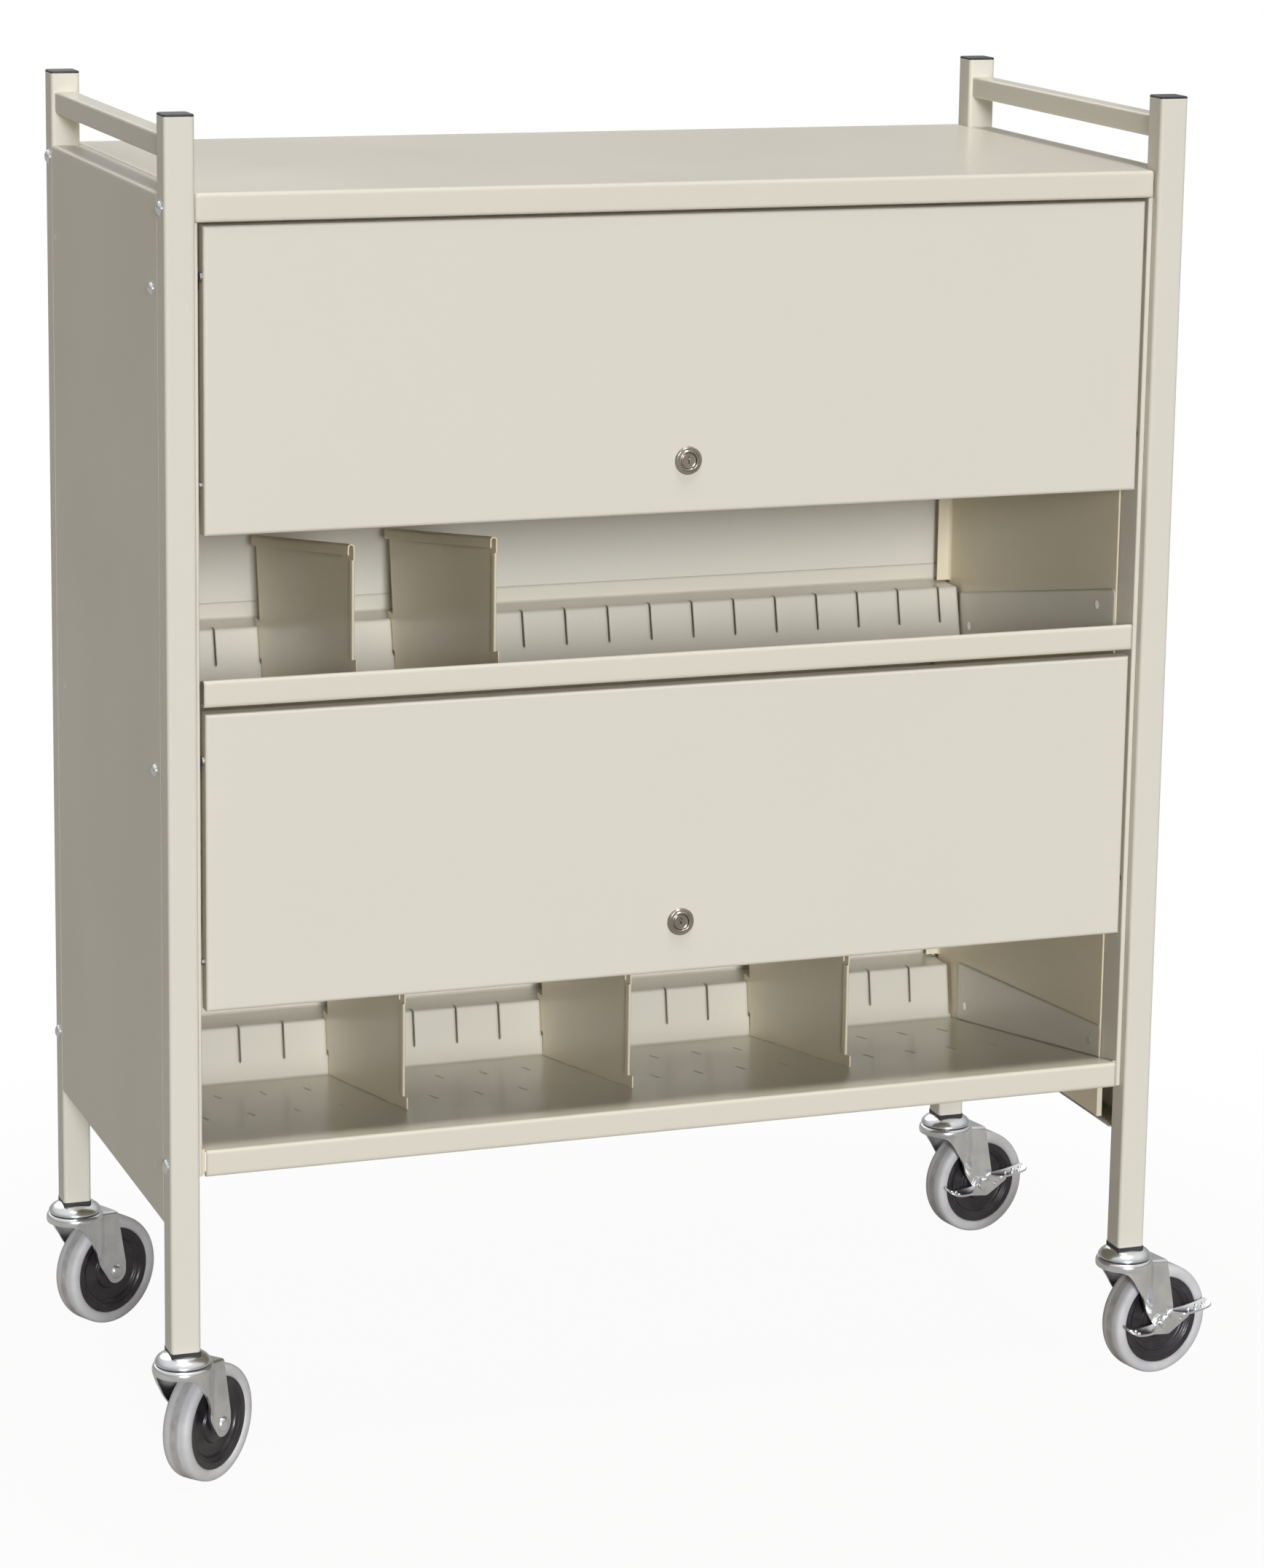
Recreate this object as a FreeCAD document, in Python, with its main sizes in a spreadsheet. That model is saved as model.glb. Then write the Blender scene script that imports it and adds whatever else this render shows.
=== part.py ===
import FreeCAD
import Part
import math
import os
import re
import Sketcher
from FreeCAD import Placement, Rotation, Vector

# Rolling rack for medical charts: a tube frame on four casters, a steel top, two sloping
# file shelves with slotted backs and lift-out dividers, and a locking flip-up door over
# each shelf.  Millimetres.  Every piece is drawn in the frame's own coordinates: x across
# from the middle, y back from the front of the posts, z up from the foot of the posts.
doc = FreeCAD.newDocument("ChartRack")

SIZES = {
    "rack_width": 900, "rack_depth": 430, "post_side": 25.4, "post_wall": 1.6,
    "post_height": 1033.6, "post_round": 3, "sheet": 1.2, "caster_height": 127,
    "middle_x": -31.5, "middle_y": -224.5,
    "rail_side": 19, "rail_bottom": 998.8, "cap_thick": 2, "cap_plug": 14, "boot_plug": 30,
    "tray_top": 971.9, "tray_drop": 23.1, "tray_half": 423.3, "tray_front": 5, "tray_back": 427,
    "panel_top": 970.9, "panel_bottom": 107, "panel_flange": 26.4, "panel_inset": 0.2,
    "liner_face": 419.2, "liner_front": 43, "liner_back": 405, "liner_top": 944,
    "liner_bottom": 112, "stile_face": 420.3, "stile_front": 9, "stile_back": 42.2,
    "stile_bottom": 151, "back_face": 420.2, "back_bottom": 109, "back_top": 948.4,
    "shelf_half": 418, "lip_front": 5, "lip_height": 23.3, "lip_return": 12, "bend": 1.6,
    "mid_edge": 574.6, "mid_slope": 0.2458, "low_edge": 174.2, "low_slope": 0.1718,
    "floor_back": 368, "wall_rise": 52, "ledge_end": 418.8, "ledge_flange": 16,
    "slot_pitch": 41.7, "slot_wide": 1.8, "slot_run": 33, "slot_back": 9,
    "slit_long": 24, "slit_front": 177, "slit_rear": 293,
    "door_half": 416.4, "door_front": 6.3, "door_deep": 15, "door_tall": 252, "door_round": 2.6,
    "upper_door_foot": 693.5, "lower_door_foot": 293.5, "lock_rise": 44.4,
    "pivot_back": 15, "upper_pivot": 904, "lower_pivot": 505.2, "pivot_drop": 12,
    "pin_back": 34, "track_tall": 32, "roller_radius": 13.9,
    "upper_bolt": 960, "lower_bolt": 161, "bolt_hole": 3.2,
    "plug_radius": 6.9, "lock_radius": 9.5, "bezel_radius": 12, "rod_radius": 2.5,
    "rod_back": 17.5, "rod_offset": 4, "rod_tip": 418.4, "crank": 8, "crank_pin": 1.5,
    "boot_rim": 3.8, "stem_radius": 5.5, "stem_long": 42, "cup_radius": 24, "cup_foot": 11.4,
    "race_radius": 20, "race_foot": 13.4, "kingpin_radius": 5, "kingpin_foot": 19.5,
    "wheel_radius": 50.8, "hub_radius": 40, "hub_half": 11.2, "boss_half": 13.7,
    "tread_half": 13.2, "tread_flat": 8, "trail": 36, "axle_radius": 4, "axle_head": 7,
    "crown_radius": 26, "crown_top": 113.3, "crown_rim": 114.6, "crown_foot": 106.8,
    "fork_half": 16.2, "fork_gauge": 2.2, "fork_lobe": 11, "crease": 19.5, "roof_end": 38,
    "roof_high": 111.8, "roof_low": 108.8, "pedal_gap": 0.3, "pedal_gauge": 2, "ear_wide": 13,
    "mid_divider_front": 74, "low_divider_front": 128,
    "divider_top_mid": 668, "divider_top_low": 262, "divider_fall": 0.157, "hem": 8,
}

sheet = doc.addObject("Spreadsheet::Sheet", "Sizes")
for row, (alias, number) in enumerate(SIZES.items(), start=1):
    sheet.set("A%d" % row, alias)
    sheet.set("B%d" % row, str(number))
    sheet.setAlias("B%d" % row, alias)
doc.recompute()


def size(expression):
    """Value of an expression written with the sheet's own names."""
    return float(getattr(sheet.evalExpression(expression), "Value", sheet.evalExpression(expression)))


def cells(expression):
    """The same expression as another object of the document has to write it."""
    return re.sub(r"[a-z]\w*", lambda m: ("Sizes." if m[0] in SIZES else "") + m[0], expression)


def new_body(name, across="0", back="0", up="0", turn=0):
    """Body named for its piece, placed from the frame's coordinates in the rack's own."""
    body = doc.addObject("PartDesign::Body", name)
    body.Label = name
    body.Placement = Placement(Vector(0, 0, 0), Rotation(Vector(0, 0, 1), turn))
    body.setExpression(".Placement.Base.x", cells("middle_x + " + across))
    body.setExpression(".Placement.Base.y", cells("middle_y + " + back))
    body.setExpression(".Placement.Base.z", cells("caster_height + " + up))
    return body


def new_sketch(body, plane, middle="0"):
    """Sketch on one of the body's own planes, moved to where the middle of a piece lies."""
    sketch = body.newObject("Sketcher::SketchObject", body.Name + "Sketch")
    base = next(item for item in body.Origin.OriginFeatures if item.Role == plane + "_Plane")
    sketch.AttachmentSupport = [(base, "")]
    sketch.MapMode = "FlatFace"
    outward = "-(%s)" if plane == "XZ" else "%s"
    sketch.setExpression("AttachmentOffset.Base.z", cells(outward % middle))
    return sketch


def bind_point(sketch, curve, corner, across, up):
    """Hold one point of a curve at the place that two expressions give."""
    for kind, expression in (("DistanceX", across), ("DistanceY", up)):
        index = sketch.addConstraint(
            Sketcher.Constraint(kind, -1, 1, curve, corner, size(expression)))
        sketch.setExpression("Constraints[%d]" % index, cells(expression))


def outline(sketch, points):
    """Closed outline with straight sides through points given as pairs of expressions."""
    first = sketch.GeometryCount
    places = [Vector(size(across), size(up), 0) for across, up in points]
    count = len(places)
    for start, end in zip(places, places[1:] + places[:1]):
        sketch.addGeometry(Part.LineSegment(start, end))
    for side in range(count):
        sketch.addConstraint(Sketcher.Constraint(
            "Coincident", first + side, 2, first + (side + 1) % count, 1))
    for side, (across, up) in enumerate(points):
        bind_point(sketch, first + side, 1, across, up)


def circle(sketch, across, up, radius):
    """Circle with its centre and its radius bound."""
    centre = Vector(size(across), size(up), 0)
    curve = sketch.addGeometry(Part.Circle(centre, Vector(0, 0, 1), size(radius)))
    bind_point(sketch, curve, 3, across, up)
    index = sketch.addConstraint(Sketcher.Constraint("Radius", curve, size(radius)))
    sketch.setExpression("Constraints[%d]" % index, cells(radius))


def prism(body, sketch, length, cut=False):
    """Pad, or pocket with cut, that runs equally to both sides of its sketch."""
    kind = "PartDesign::Pocket" if cut else "PartDesign::Pad"
    feature = body.newObject(kind, body.Name + ("Cut" if cut else "Pad"))
    feature.Profile = sketch
    feature.SideType = "Symmetric"
    feature.setExpression("Length", cells(length))
    return feature


def pad(body, plane, points, middle, length, cut=False):
    """Prism with straight sides: its middle and its length lie along the plane's normal."""
    sketch = new_sketch(body, plane, middle)
    outline(sketch, points)
    return prism(body, sketch, length, cut)


def rod(body, plane, centres, radius, middle, length, cut=False):
    """Round pads, or holes with cut, at each centre."""
    sketch = new_sketch(body, plane, middle)
    for across, up in centres:
        circle(sketch, across, up, radius)
    return prism(body, sketch, length, cut)


def turned(body, points):
    """Solid of revolution about the body's own y axis, radius first in each point."""
    sketch = new_sketch(body, "XY")
    outline(sketch, points)
    feature = body.newObject("PartDesign::Revolution", body.Name + "Turn")
    feature.Profile = sketch
    feature.ReferenceAxis = (sketch, ["V_Axis"])
    feature.Angle = 360
    return feature


def spun(body, points, across="0", back="0", cut=False):
    """Solid of revolution, or groove with cut, about an upright axis, radius first."""
    sketch = new_sketch(body, "XZ", back)
    sketch.setExpression("AttachmentOffset.Base.x", cells(across))
    outline(sketch, points)
    kind = "PartDesign::Groove" if cut else "PartDesign::Revolution"
    feature = body.newObject(kind, body.Name + "Spun")
    feature.Profile = sketch
    feature.ReferenceAxis = (sketch, ["V_Axis"])
    feature.Angle = 360
    return feature


def box(left, low, right, high):
    return [(left, low), (right, low), (right, high), (left, high)]


def round_edges(body, radius, wanted):
    """Fillet of the edges of the body's last shape that a test picks."""
    doc.recompute()
    base = body.Tip
    names = ["Edge%d" % (n + 1) for n, edge in enumerate(base.Shape.Edges) if wanted(edge)]
    fillet = body.newObject("PartDesign::Fillet", body.Name + "Round")
    fillet.Base = (base, names)
    fillet.setExpression("Radius", cells(radius))
    return fillet


def runs(edge, axis):
    """True where a straight edge is parallel to the named axis."""
    if edge.Curve.TypeId != "Part::GeomLine":
        return False
    return abs(abs(getattr(edge.Curve.Direction, axis)) - 1) < 1e-6


def at(edge, **place):
    """True where the middle of an edge has the coordinates given."""
    middle = edge.CenterOfMass
    return all(abs(getattr(middle, axis) - where) < 0.05 for axis, where in place.items())


def hollow(body, opened):
    """Sheet-metal pan: the solid becomes a shell one sheet thick, open at the chosen face."""
    doc.recompute()
    base = body.Tip
    names = ["Face%d" % (n + 1) for n, face in enumerate(base.Shape.Faces) if opened(face)]
    shell = body.newObject("PartDesign::Thickness", body.Name + "Shell")
    shell.Base = (base, names)
    shell.setExpression("Value", cells("sheet"))
    shell.Mode = "Skin"
    shell.Join = "Arc"
    return shell


def bent(points, side=1, gauge="sheet"):
    """Outline of a folded strip: the points are one face, the other lies a gauge away."""
    turns = []
    for (x0, y0), (x1, y1) in zip(points, points[1:]):
        turns.append("atan2((%s) - (%s); (%s) - (%s))" % (y1, y0, x1, x0))
    before = [turns[0]] + turns
    after = turns + [turns[-1]]
    other = []
    for (across, up), a, b in zip(points, before, after):
        reach = "%d * %s / cos((%s - %s) / 2)" % (side, gauge, b, a)
        mean = "(%s + %s) / 2" % (a, b)
        other.append(("%s - %s * sin(%s)" % (across, reach, mean),
                      "%s + %s * cos(%s)" % (up, reach, mean)))
    return points + other[::-1]


def round_folds(body, plane, points, side=1):
    """Bend radii of a folded strip: tight inside each fold, one sheet more outside."""
    flat = [(size(a), size(b)) for a, b in bent(points, side)]
    across, up = plane.lower()
    along = ({"x", "y", "z"} - {across, up}).pop()
    count = len(points)
    inside, outside = [], []
    for i in range(1, count - 1):
        (xa, ya), (xb, yb), (xc, yc) = flat[i - 1], flat[i], flat[i + 1]
        left_turn = (xb - xa) * (yc - yb) - (yb - ya) * (xc - xb) > 0
        near, far = flat[i], flat[2 * count - 1 - i]
        left, right = (far, near) if side > 0 else (near, far)
        inside.append(left if left_turn else right)
        outside.append(right if left_turn else left)
    for radius, places in (("bend", inside), ("bend + sheet", outside)):
        round_edges(body, radius, lambda edge: runs(edge, along) and any(
            at(edge, **{across: a, up: b}) for a, b in places))


def row_of(body, feature, count):
    """The same cut again and again across the rack, one slot pitch apart."""
    pattern = body.newObject("PartDesign::LinearPattern", body.Name + "Row")
    pattern.Originals = [feature]
    pattern.Direction = (feature.Profile[0], ["N_Axis"])
    pattern.setExpression("Length", cells("slot_pitch * %d" % (count - 1)))
    pattern.Occurrences = count
    body.Tip = pattern


SIDES = {"left": "-1", "right": "1"}
ENDS = {"front": "(post_side / 2)", "rear": "(rack_depth - post_side / 2)"}
POST_X = "(rack_width / 2 - post_side / 2)"
CORNERS = [(sign + " * " + POST_X, y) for sign in SIDES.values() for y in ENDS.values()]
DOORS = {"upper": ("upper_pivot", "upper_door_foot"), "lower": ("lower_pivot", "lower_door_foot")}


def squares(body, middle, height, half):
    """The same square block at every post."""
    sketch = new_sketch(body, "XY", middle)
    for x, y in CORNERS:
        outline(sketch, box("%s - %s" % (x, half), "%s - %s" % (y, half),
                            "%s + %s" % (x, half), "%s + %s" % (y, half)))
    return prism(body, sketch, height)


# Posts: square tube, drilled for the outer bolts and, in front, for the lock rods.
for end, y in ENDS.items():
    for side, sign in SIDES.items():
        x = sign + " * " + POST_X
        post = new_body("post_%s_%s" % (end, side), x, y)
        sketch = new_sketch(post, "XY", "post_height / 2")
        for half in ("(post_side / 2)", "(post_side / 2 - post_wall)"):
            outline(sketch, box("-" + half, "-" + half, half, half))
        prism(post, sketch, "post_height")
        round_edges(post, "post_round", lambda edge: runs(edge, "z")
                    and abs(edge.CenterOfMass.x) > size("post_side / 2 - 0.1"))
        rod(post, "YZ", [("0", "upper_bolt"), ("0", "lower_bolt")], "bolt_hole",
            "0", "post_side + 1", cut=True)
        if end == "front":
            holes = [("rod_back - post_side / 2", "%s + lock_rise + %s * rod_offset" % (foot, sign))
                     for pivot, foot in DOORS.values()]
            rod(post, "YZ", holes, "rod_radius + 0.6", sign + " * -post_side / 2",
                "4 * post_wall", cut=True)

# Handrails: smaller square tube welded between the posts at each end.
for side, sign in SIDES.items():
    rail = new_body("handrail_" + side, sign + " * " + POST_X, "rack_depth / 2")
    sketch = new_sketch(rail, "XZ")
    for wall in ("0", "post_wall"):
        half = "(rail_side / 2 - %s)" % wall
        outline(sketch, box("-" + half, "rail_bottom + " + wall,
                            half, "rail_bottom + rail_side - " + wall))
    prism(rail, sketch, "rack_depth - 2 * post_side")
    round_edges(rail, "post_round * 0.8", lambda edge: runs(edge, "y")
                and abs(edge.CenterOfMass.x) > size("rail_side / 2 - 0.1"))

# Plastic plugs in the tops of the posts, and the boots between the posts and the casters.
caps = new_body("post_caps")
squares(caps, "post_height + cap_thick / 2", "cap_thick", "(post_side / 2)")
round_edges(caps, "post_round", lambda edge: runs(edge, "z"))
round_edges(caps, "cap_thick * 0.6", lambda edge: at(edge, z=size("post_height + cap_thick")))
squares(caps, "post_height - cap_plug / 2", "cap_plug", "(post_side / 2 - post_wall - 0.1)")

# Each boot is hollowed underneath for the domed cup of its caster.
boots = new_body("caster_boots")
squares(boots, "-boot_rim / 2", "boot_rim", "(post_side / 2)")
round_edges(boots, "1", lambda edge: runs(edge, "z"))
squares(boots, "boot_plug / 2", "boot_plug", "(post_side / 2 - post_wall - 0.1)")
rod(boots, "XY", CORNERS, "stem_radius + 0.05", "boot_plug / 2", "2 * boot_plug", cut=True)
CUP_DOME = [("12", "-2.4"), ("18", "-4.3"), ("21.5", "-6.4"), ("23.5", "-9.2")]
for x, y in CORNERS:
    spun(boots, [("0", "-1.3"), ("6", "-1.5")] + [(r, z + " + 0.1") for r, z in CUP_DOME[:2]]
         + [("18", "-boot_rim - 2"), ("0", "-boot_rim - 2")], x, y, cut=True)

# Top tray: a shallow pan turned upside down between the posts.
tray = new_body("top_tray")
pad(tray, "XY", box("-tray_half", "tray_front", "tray_half", "tray_back"),
    "tray_top - tray_drop / 2", "tray_drop")
round_edges(tray, "post_round", lambda edge: runs(edge, "z") or at(edge, z=size("tray_top")))
hollow(tray, lambda face: at(face, z=size("tray_top - tray_drop")))

# Side panels: flanged sheet between the posts, the flange closing the cavity on top.
TRACKS = ("(upper_pivot - pivot_drop)", "(lower_pivot - pivot_drop)")
PANEL_FACE = "(rack_width / 2 - panel_inset)"
for side, sign in SIDES.items():
    panel = new_body("side_panel_" + side)
    inner = "%s * (rack_width / 2 - panel_flange)" % sign
    outer = "%s * %s" % (sign, PANEL_FACE)
    path = [(inner, "panel_bottom"), (outer, "panel_bottom"),
            (outer, "panel_top"), (inner, "panel_top")]
    pad(panel, "XZ", bent(path, int(sign)), "rack_depth / 2",
        "rack_depth - 2 * post_side - 0.4")
    round_folds(panel, "XZ", path, int(sign))
    rod(panel, "YZ", [("liner_front", z) for z in TRACKS], "bolt_hole", outer, "4 * sheet", cut=True)
    for y, z in zip(("395", "377"), TRACKS):
        pad(panel, "YZ", box(y + " - 1.2", z + " - 3", y + " + 1.2", z + " + 3"),
            outer, "4 * sheet", cut=True)

# Front stiles: narrow channels beside the front posts.
for side, sign in SIDES.items():
    stile = new_body("front_stile_" + side)
    face = "%s * stile_face" % sign
    edge_x = "%s * (stile_face + 4)" % sign
    path = [(edge_x, "stile_front"), (face, "stile_front"),
            (face, "stile_back"), (edge_x, "stile_back")]
    pad(stile, "XY", bent(path, -int(sign)), "(stile_bottom + back_top) / 2",
        "back_top - stile_bottom")
    round_edges(stile, "sheet", lambda edge: runs(edge, "z")
                and at(edge, x=size(face)))
    holes = [("rod_back", "%s + lock_rise + %s * rod_offset" % (foot, sign))
             for pivot, foot in DOORS.values()]
    rod(stile, "YZ", holes, "rod_radius + 0.6", face, "4 * sheet", cut=True)

# Rolling tracks for the doors, one channel at each side of each door.
for door, centre in zip(DOORS, TRACKS):
    track = new_body(door + "_tracks")
    for sign in SIDES.values():
        mouth, web = sign + " * 426", sign + " * (rack_width / 2 - 1.6)"
        low, high = centre + " - track_tall / 2", centre + " + track_tall / 2"
        path = [(mouth, low), (web, low), (web, high), (mouth, high)]
        pad(track, "XZ", bent(path, int(sign)), "(30 + 403) / 2", "403 - 30")
    rod(track, "YZ", [("liner_front", centre)], "bolt_hole", "0", "rack_width", cut=True)


def shelf_path(edge, slope):
    """Side view of a file shelf: rolled lip, sloping floor, wall square to it, ledge."""
    foot = "(%s - %s * (floor_back - lip_front))" % (edge, slope)
    wall_y = "(floor_back + wall_rise * sin(atan(%s)))" % slope
    ledge = "(%s + wall_rise * cos(atan(%s)))" % (foot, slope)
    low = "(%s - lip_height)" % edge
    return [("(lip_front + lip_return)", low), ("lip_front", low), ("lip_front", edge),
            ("floor_back", foot), (wall_y, ledge), ("ledge_end", ledge),
            ("ledge_end", "(%s + ledge_flange)" % ledge)]


def floor_at(edge, slope, y, above="0"):
    return "(%s - %s * (%s - lip_front) + %s)" % (edge, slope, y, above)


SHELVES = {
    "mid": ("mid_edge", "mid_slope", 20, (("43", "599"), ("378", "530.5")),
            (("76", "578"), ("352", "503"))),
    "bottom": ("low_edge", "low_slope", 19, (("40", "198"), ("354", "171")),
               (("62", "178.5"), ("336", "132"))),
}
FLANGE_X = "(shelf_half + 0.3)"

for name, (edge, slope, count, flange_top, screws) in SHELVES.items():
    shelf = new_body(name + "_shelf")
    path = shelf_path(edge, slope)
    pad(shelf, "YZ", bent(path, -1), "0", "2 * shelf_half")
    round_folds(shelf, "YZ", path, -1)
    wall, ledge = path[4]
    foot = path[3][1]
    for sign in SIDES.values():
        pad(shelf, "YZ", box("floor_back - 2", foot + " + 4", "ledge_end + 1", ledge + " + 20"),
            sign + " * (shelf_half - 1)", "2.6", cut=True)
    (y0, z0), (y1, z1) = flange_top
    gusset = [(y0, floor_at(edge, slope, y0, "-0.6")), (y1, floor_at(edge, slope, y1, "-0.6")),
              (y1, z1), (y0, z0)]
    for sign in SIDES.values():
        pad(shelf, "YZ", gusset, sign + " * " + FLANGE_X, "sheet")
    round_edges(shelf, "5", lambda edge: runs(edge, "x") and at(edge, y=size(y0), z=size(z0)))
    rod(shelf, "YZ", screws, "2.2", "0", "2 * shelf_half + 10", cut=True)

    low_y = "(floor_back + (wall_rise - slot_run) * sin(atan(%s)))" % slope
    low_z = "(%s + (wall_rise - slot_run) * cos(atan(%s)))" % (foot, slope)
    start = "-slot_pitch * %d / 2" % (count - 1)
    slot = pad(shelf, "YZ", [
        (low_y + " - 1.5", low_z), (low_y + " + 3", low_z), (wall + " + 2", ledge + " - 3"),
        (wall + " + slot_back", ledge + " - 3"), (wall + " + slot_back", ledge + " + 2"),
        (wall + " - 1.5", ledge + " + 2")], start, "slot_wide", cut=True)
    row_of(shelf, slot, count)
    sketch = new_sketch(shelf, "YZ", start)
    for y in ("slit_front", "slit_rear"):
        near, far = "(%s - slit_long / 2)" % y, "(%s + slit_long / 2)" % y
        outline(sketch, [(near, floor_at(edge, slope, near, "-4")),
                         (far, floor_at(edge, slope, far, "-4")),
                         (far, floor_at(edge, slope, far, "2")),
                         (near, floor_at(edge, slope, near, "2"))])
    row_of(shelf, prism(shelf, sketch, "slot_wide", cut=True), count)

# Liners: inner side walls, slotted for the door rollers, rolled inwards at the back.
LEDGES = [shelf_path(*SHELVES[name][:2])[4][1] for name in ("mid", "bottom")]
for side, sign in SIDES.items():
    liner = new_body("liner_" + side)
    face = sign + " * liner_face"
    lip, roll = sign + " * 424", sign + " * 406"
    path = [(lip, "liner_front"), (face, "liner_front"), (face, "liner_back"), (roll, "liner_back")]
    pad(liner, "XY", bent(path, -int(sign)), "(liner_bottom + liner_top) / 2",
        "liner_top - liner_bottom")
    round_edges(liner, "4", lambda edge: runs(edge, "z")
                and at(edge, x=size(face), y=size("liner_back")))
    round_edges(liner, "sheet", lambda edge: runs(edge, "z")
                and at(edge, x=size(face), y=size("liner_front")))
    cut_x, cut_wide = sign + " * 412", "14.2"
    for low, high in (("liner_bottom - 1", LEDGES[1] + " + 3"),
                      (LEDGES[0] + " - 3", LEDGES[0] + " + 2")):
        pad(liner, "YZ", box("liner_back - 6", low, "liner_back + 4", high),
            cut_x, cut_wide, cut=True)
    for centre in TRACKS:
        pad(liner, "YZ", box("liner_front - 2", centre + " - 4.5", "206", centre + " + 4.5"),
            sign + " * 421", "8", cut=True)
    holes = [screw for shelf in SHELVES.values() for screw in shelf[4]]
    rod(liner, "YZ", holes, "2.2", face, "8", cut=True)

# Back panel: a shallow pan between the rear posts.
back = new_body("back_panel")
pad(back, "XZ", box("-tray_half", "back_bottom", "tray_half", "back_top"),
    "back_face + 4", "8")
round_edges(back, "bend + sheet", lambda edge: at(edge, y=size("back_face")))
hollow(back, lambda face: at(face, y=size("back_face + 8")))

# Bolts with domed heads: through the posts, and through the side panels into the tracks.
BOLTS = {
    "outer_bolts": ([(y, z) for y in ENDS.values() for z in ("upper_bolt", "lower_bolt")],
                    "(rack_width / 2)", "6.5", "25.6"),
    "track_bolts": ([("liner_front", z) for z in TRACKS], PANEL_FACE, "5.5", "3.8"),
}
for name, (places, seat, head, shank) in BOLTS.items():
    bolts = new_body(name)
    for sign in SIDES.values():
        rod(bolts, "YZ", places, head, "%s * (%s + 1.9)" % (sign, seat), "3.8")
        rod(bolts, "YZ", places, "3", "%s * (%s - %s / 2)" % (sign, seat, shank), shank)
    rim = size(seat) + 3.8
    round_edges(bolts, "3.2", lambda edge: abs(abs(edge.CenterOfMass.x) - rim) < 0.05)

screws = new_body("shelf_screws")
places = [screw for shelf in SHELVES.values() for screw in shelf[4]]
for sign in SIDES.values():
    rod(screws, "YZ", places, "3.8", "%s * (shelf_half - 0.9)" % sign, "1.2")
    rod(screws, "YZ", places, "2", "%s * (shelf_half + 2.8)" % sign, "6.4")

# Doors: shallow pans, drilled for the hinge rod, the lock and its two rods.
for door, (pivot, foot) in DOORS.items():
    leaf = new_body(door + "_door")
    lock_z = "(%s + lock_rise)" % foot
    pad(leaf, "XZ", box("-door_half", foot, "door_half", foot + " + door_tall"),
        "door_front + door_deep / 2", "door_deep")
    round_edges(leaf, "door_round", lambda edge: at(edge, y=size("door_front")))
    hollow(leaf, lambda face: at(face, y=size("door_front + door_deep")) and face.Area > 1000)
    rod(leaf, "XZ", [("0", lock_z)], "lock_radius", "door_front", "4 * sheet", cut=True)
    rod(leaf, "YZ", [("pivot_back", pivot)], "4.1", "0", "2 * rack_width", cut=True)
    for sign in SIDES.values():
        rod(leaf, "YZ", [("rod_back", "%s + %s * rod_offset" % (lock_z, sign))],
            "rod_radius + 0.4", sign + " * door_half", "8", cut=True)

# Carriages: a hinge rod across the door, an arm at each end and a roller in each track.
ARM_X, ROLLER_X = "413.3", "437.5"
for door, (pivot, foot) in DOORS.items():
    carriage = new_body(door + "_carriage")
    roller = ("(pivot_back + pin_back)", "(%s - pivot_drop)" % pivot)
    rod(carriage, "YZ", [("pivot_back", pivot)], "4", "0", "836")
    lean = "atan(pivot_drop / pin_back)"
    rise, run = "6.5 * cos(%s)" % lean, "6.5 * sin(%s)" % lean
    arm = [("pivot_back - " + run, pivot + " - " + rise),
           (roller[0] + " - " + run, roller[1] + " - " + rise),
           (roller[0] + " + " + run, roller[1] + " + " + rise),
           ("pivot_back + " + run, pivot + " + " + rise)]
    for sign in SIDES.values():
        middle = "%s * %s" % (sign, ARM_X)
        pad(carriage, "YZ", arm, middle, "2.2")
        for centre in (("pivot_back", pivot), roller):
            rod(carriage, "YZ", [centre], "6.5", middle, "2.2")
        rod(carriage, "YZ", [roller], "3", sign + " * (%s + %s) / 2" % (ARM_X, ROLLER_X), "24.2")
        rod(carriage, "YZ", [roller], "roller_radius", "%s * %s" % (sign, ROLLER_X), "13")

# Locks: a bezel on the door, a plug with a crank plate behind it, and two sliding rods.
for door, (pivot, foot) in DOORS.items():
    lock_z = foot + " + lock_rise"
    housing = new_body(door + "_lock_housing", up=lock_z)
    turned(housing, [
        ("plug_radius + 0.1", "3.4"), ("plug_radius + 1.8", "3.4"), ("plug_radius + 2.2", "4.2"),
        ("bezel_radius - 0.8", "4.2"), ("bezel_radius", "5"), ("bezel_radius", "door_front"),
        ("lock_radius", "door_front"), ("lock_radius", "18.2"), ("plug_radius + 0.1", "18.2")])

    plug = new_body(door + "_lock_plug", up=lock_z)
    turned(plug, [("0", "3.8"), ("plug_radius", "3.8"), ("plug_radius", "18.2"),
                  ("3.6", "18.2"), ("3.6", "20.4"), ("10.5", "20.4"), ("10.5", "22"), ("0", "22")])
    reach = "(crank * sin(45))"
    rod(plug, "XZ", [("-" + reach, reach), (reach, "-" + reach)], "crank_pin", "19.5", "2")
    pad(plug, "XZ", box("-0.8", "-3.6", "0.8", "3.6"), "3.8", "6", cut=True)
    rod(plug, "XZ", [("0", "1.8")], "1.7", "3.8", "6", cut=True)

    for side, sign in SIDES.items():
        bar = new_body("%s_lock_rod_%s" % (door, side), up=lock_z)
        out = "%s * " % sign
        rod(bar, "YZ", [("rod_back", out + "rod_offset")], "rod_radius",
            out + "(11.5 + rod_tip) / 2", "rod_tip - 11.5")
        pad(bar, "XZ", box(out + "(-%s - 4.5)" % reach, out + "4.4", out + "15", out + "12.5"),
            "19.4", "1.2")
        pad(bar, "XZ", box(out + "(-%s - 2.1)" % reach, out + "3.4",
                           out + "(-%s + 2.1)" % reach, out + "10.1"), "19.4", "4", cut=True)

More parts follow.
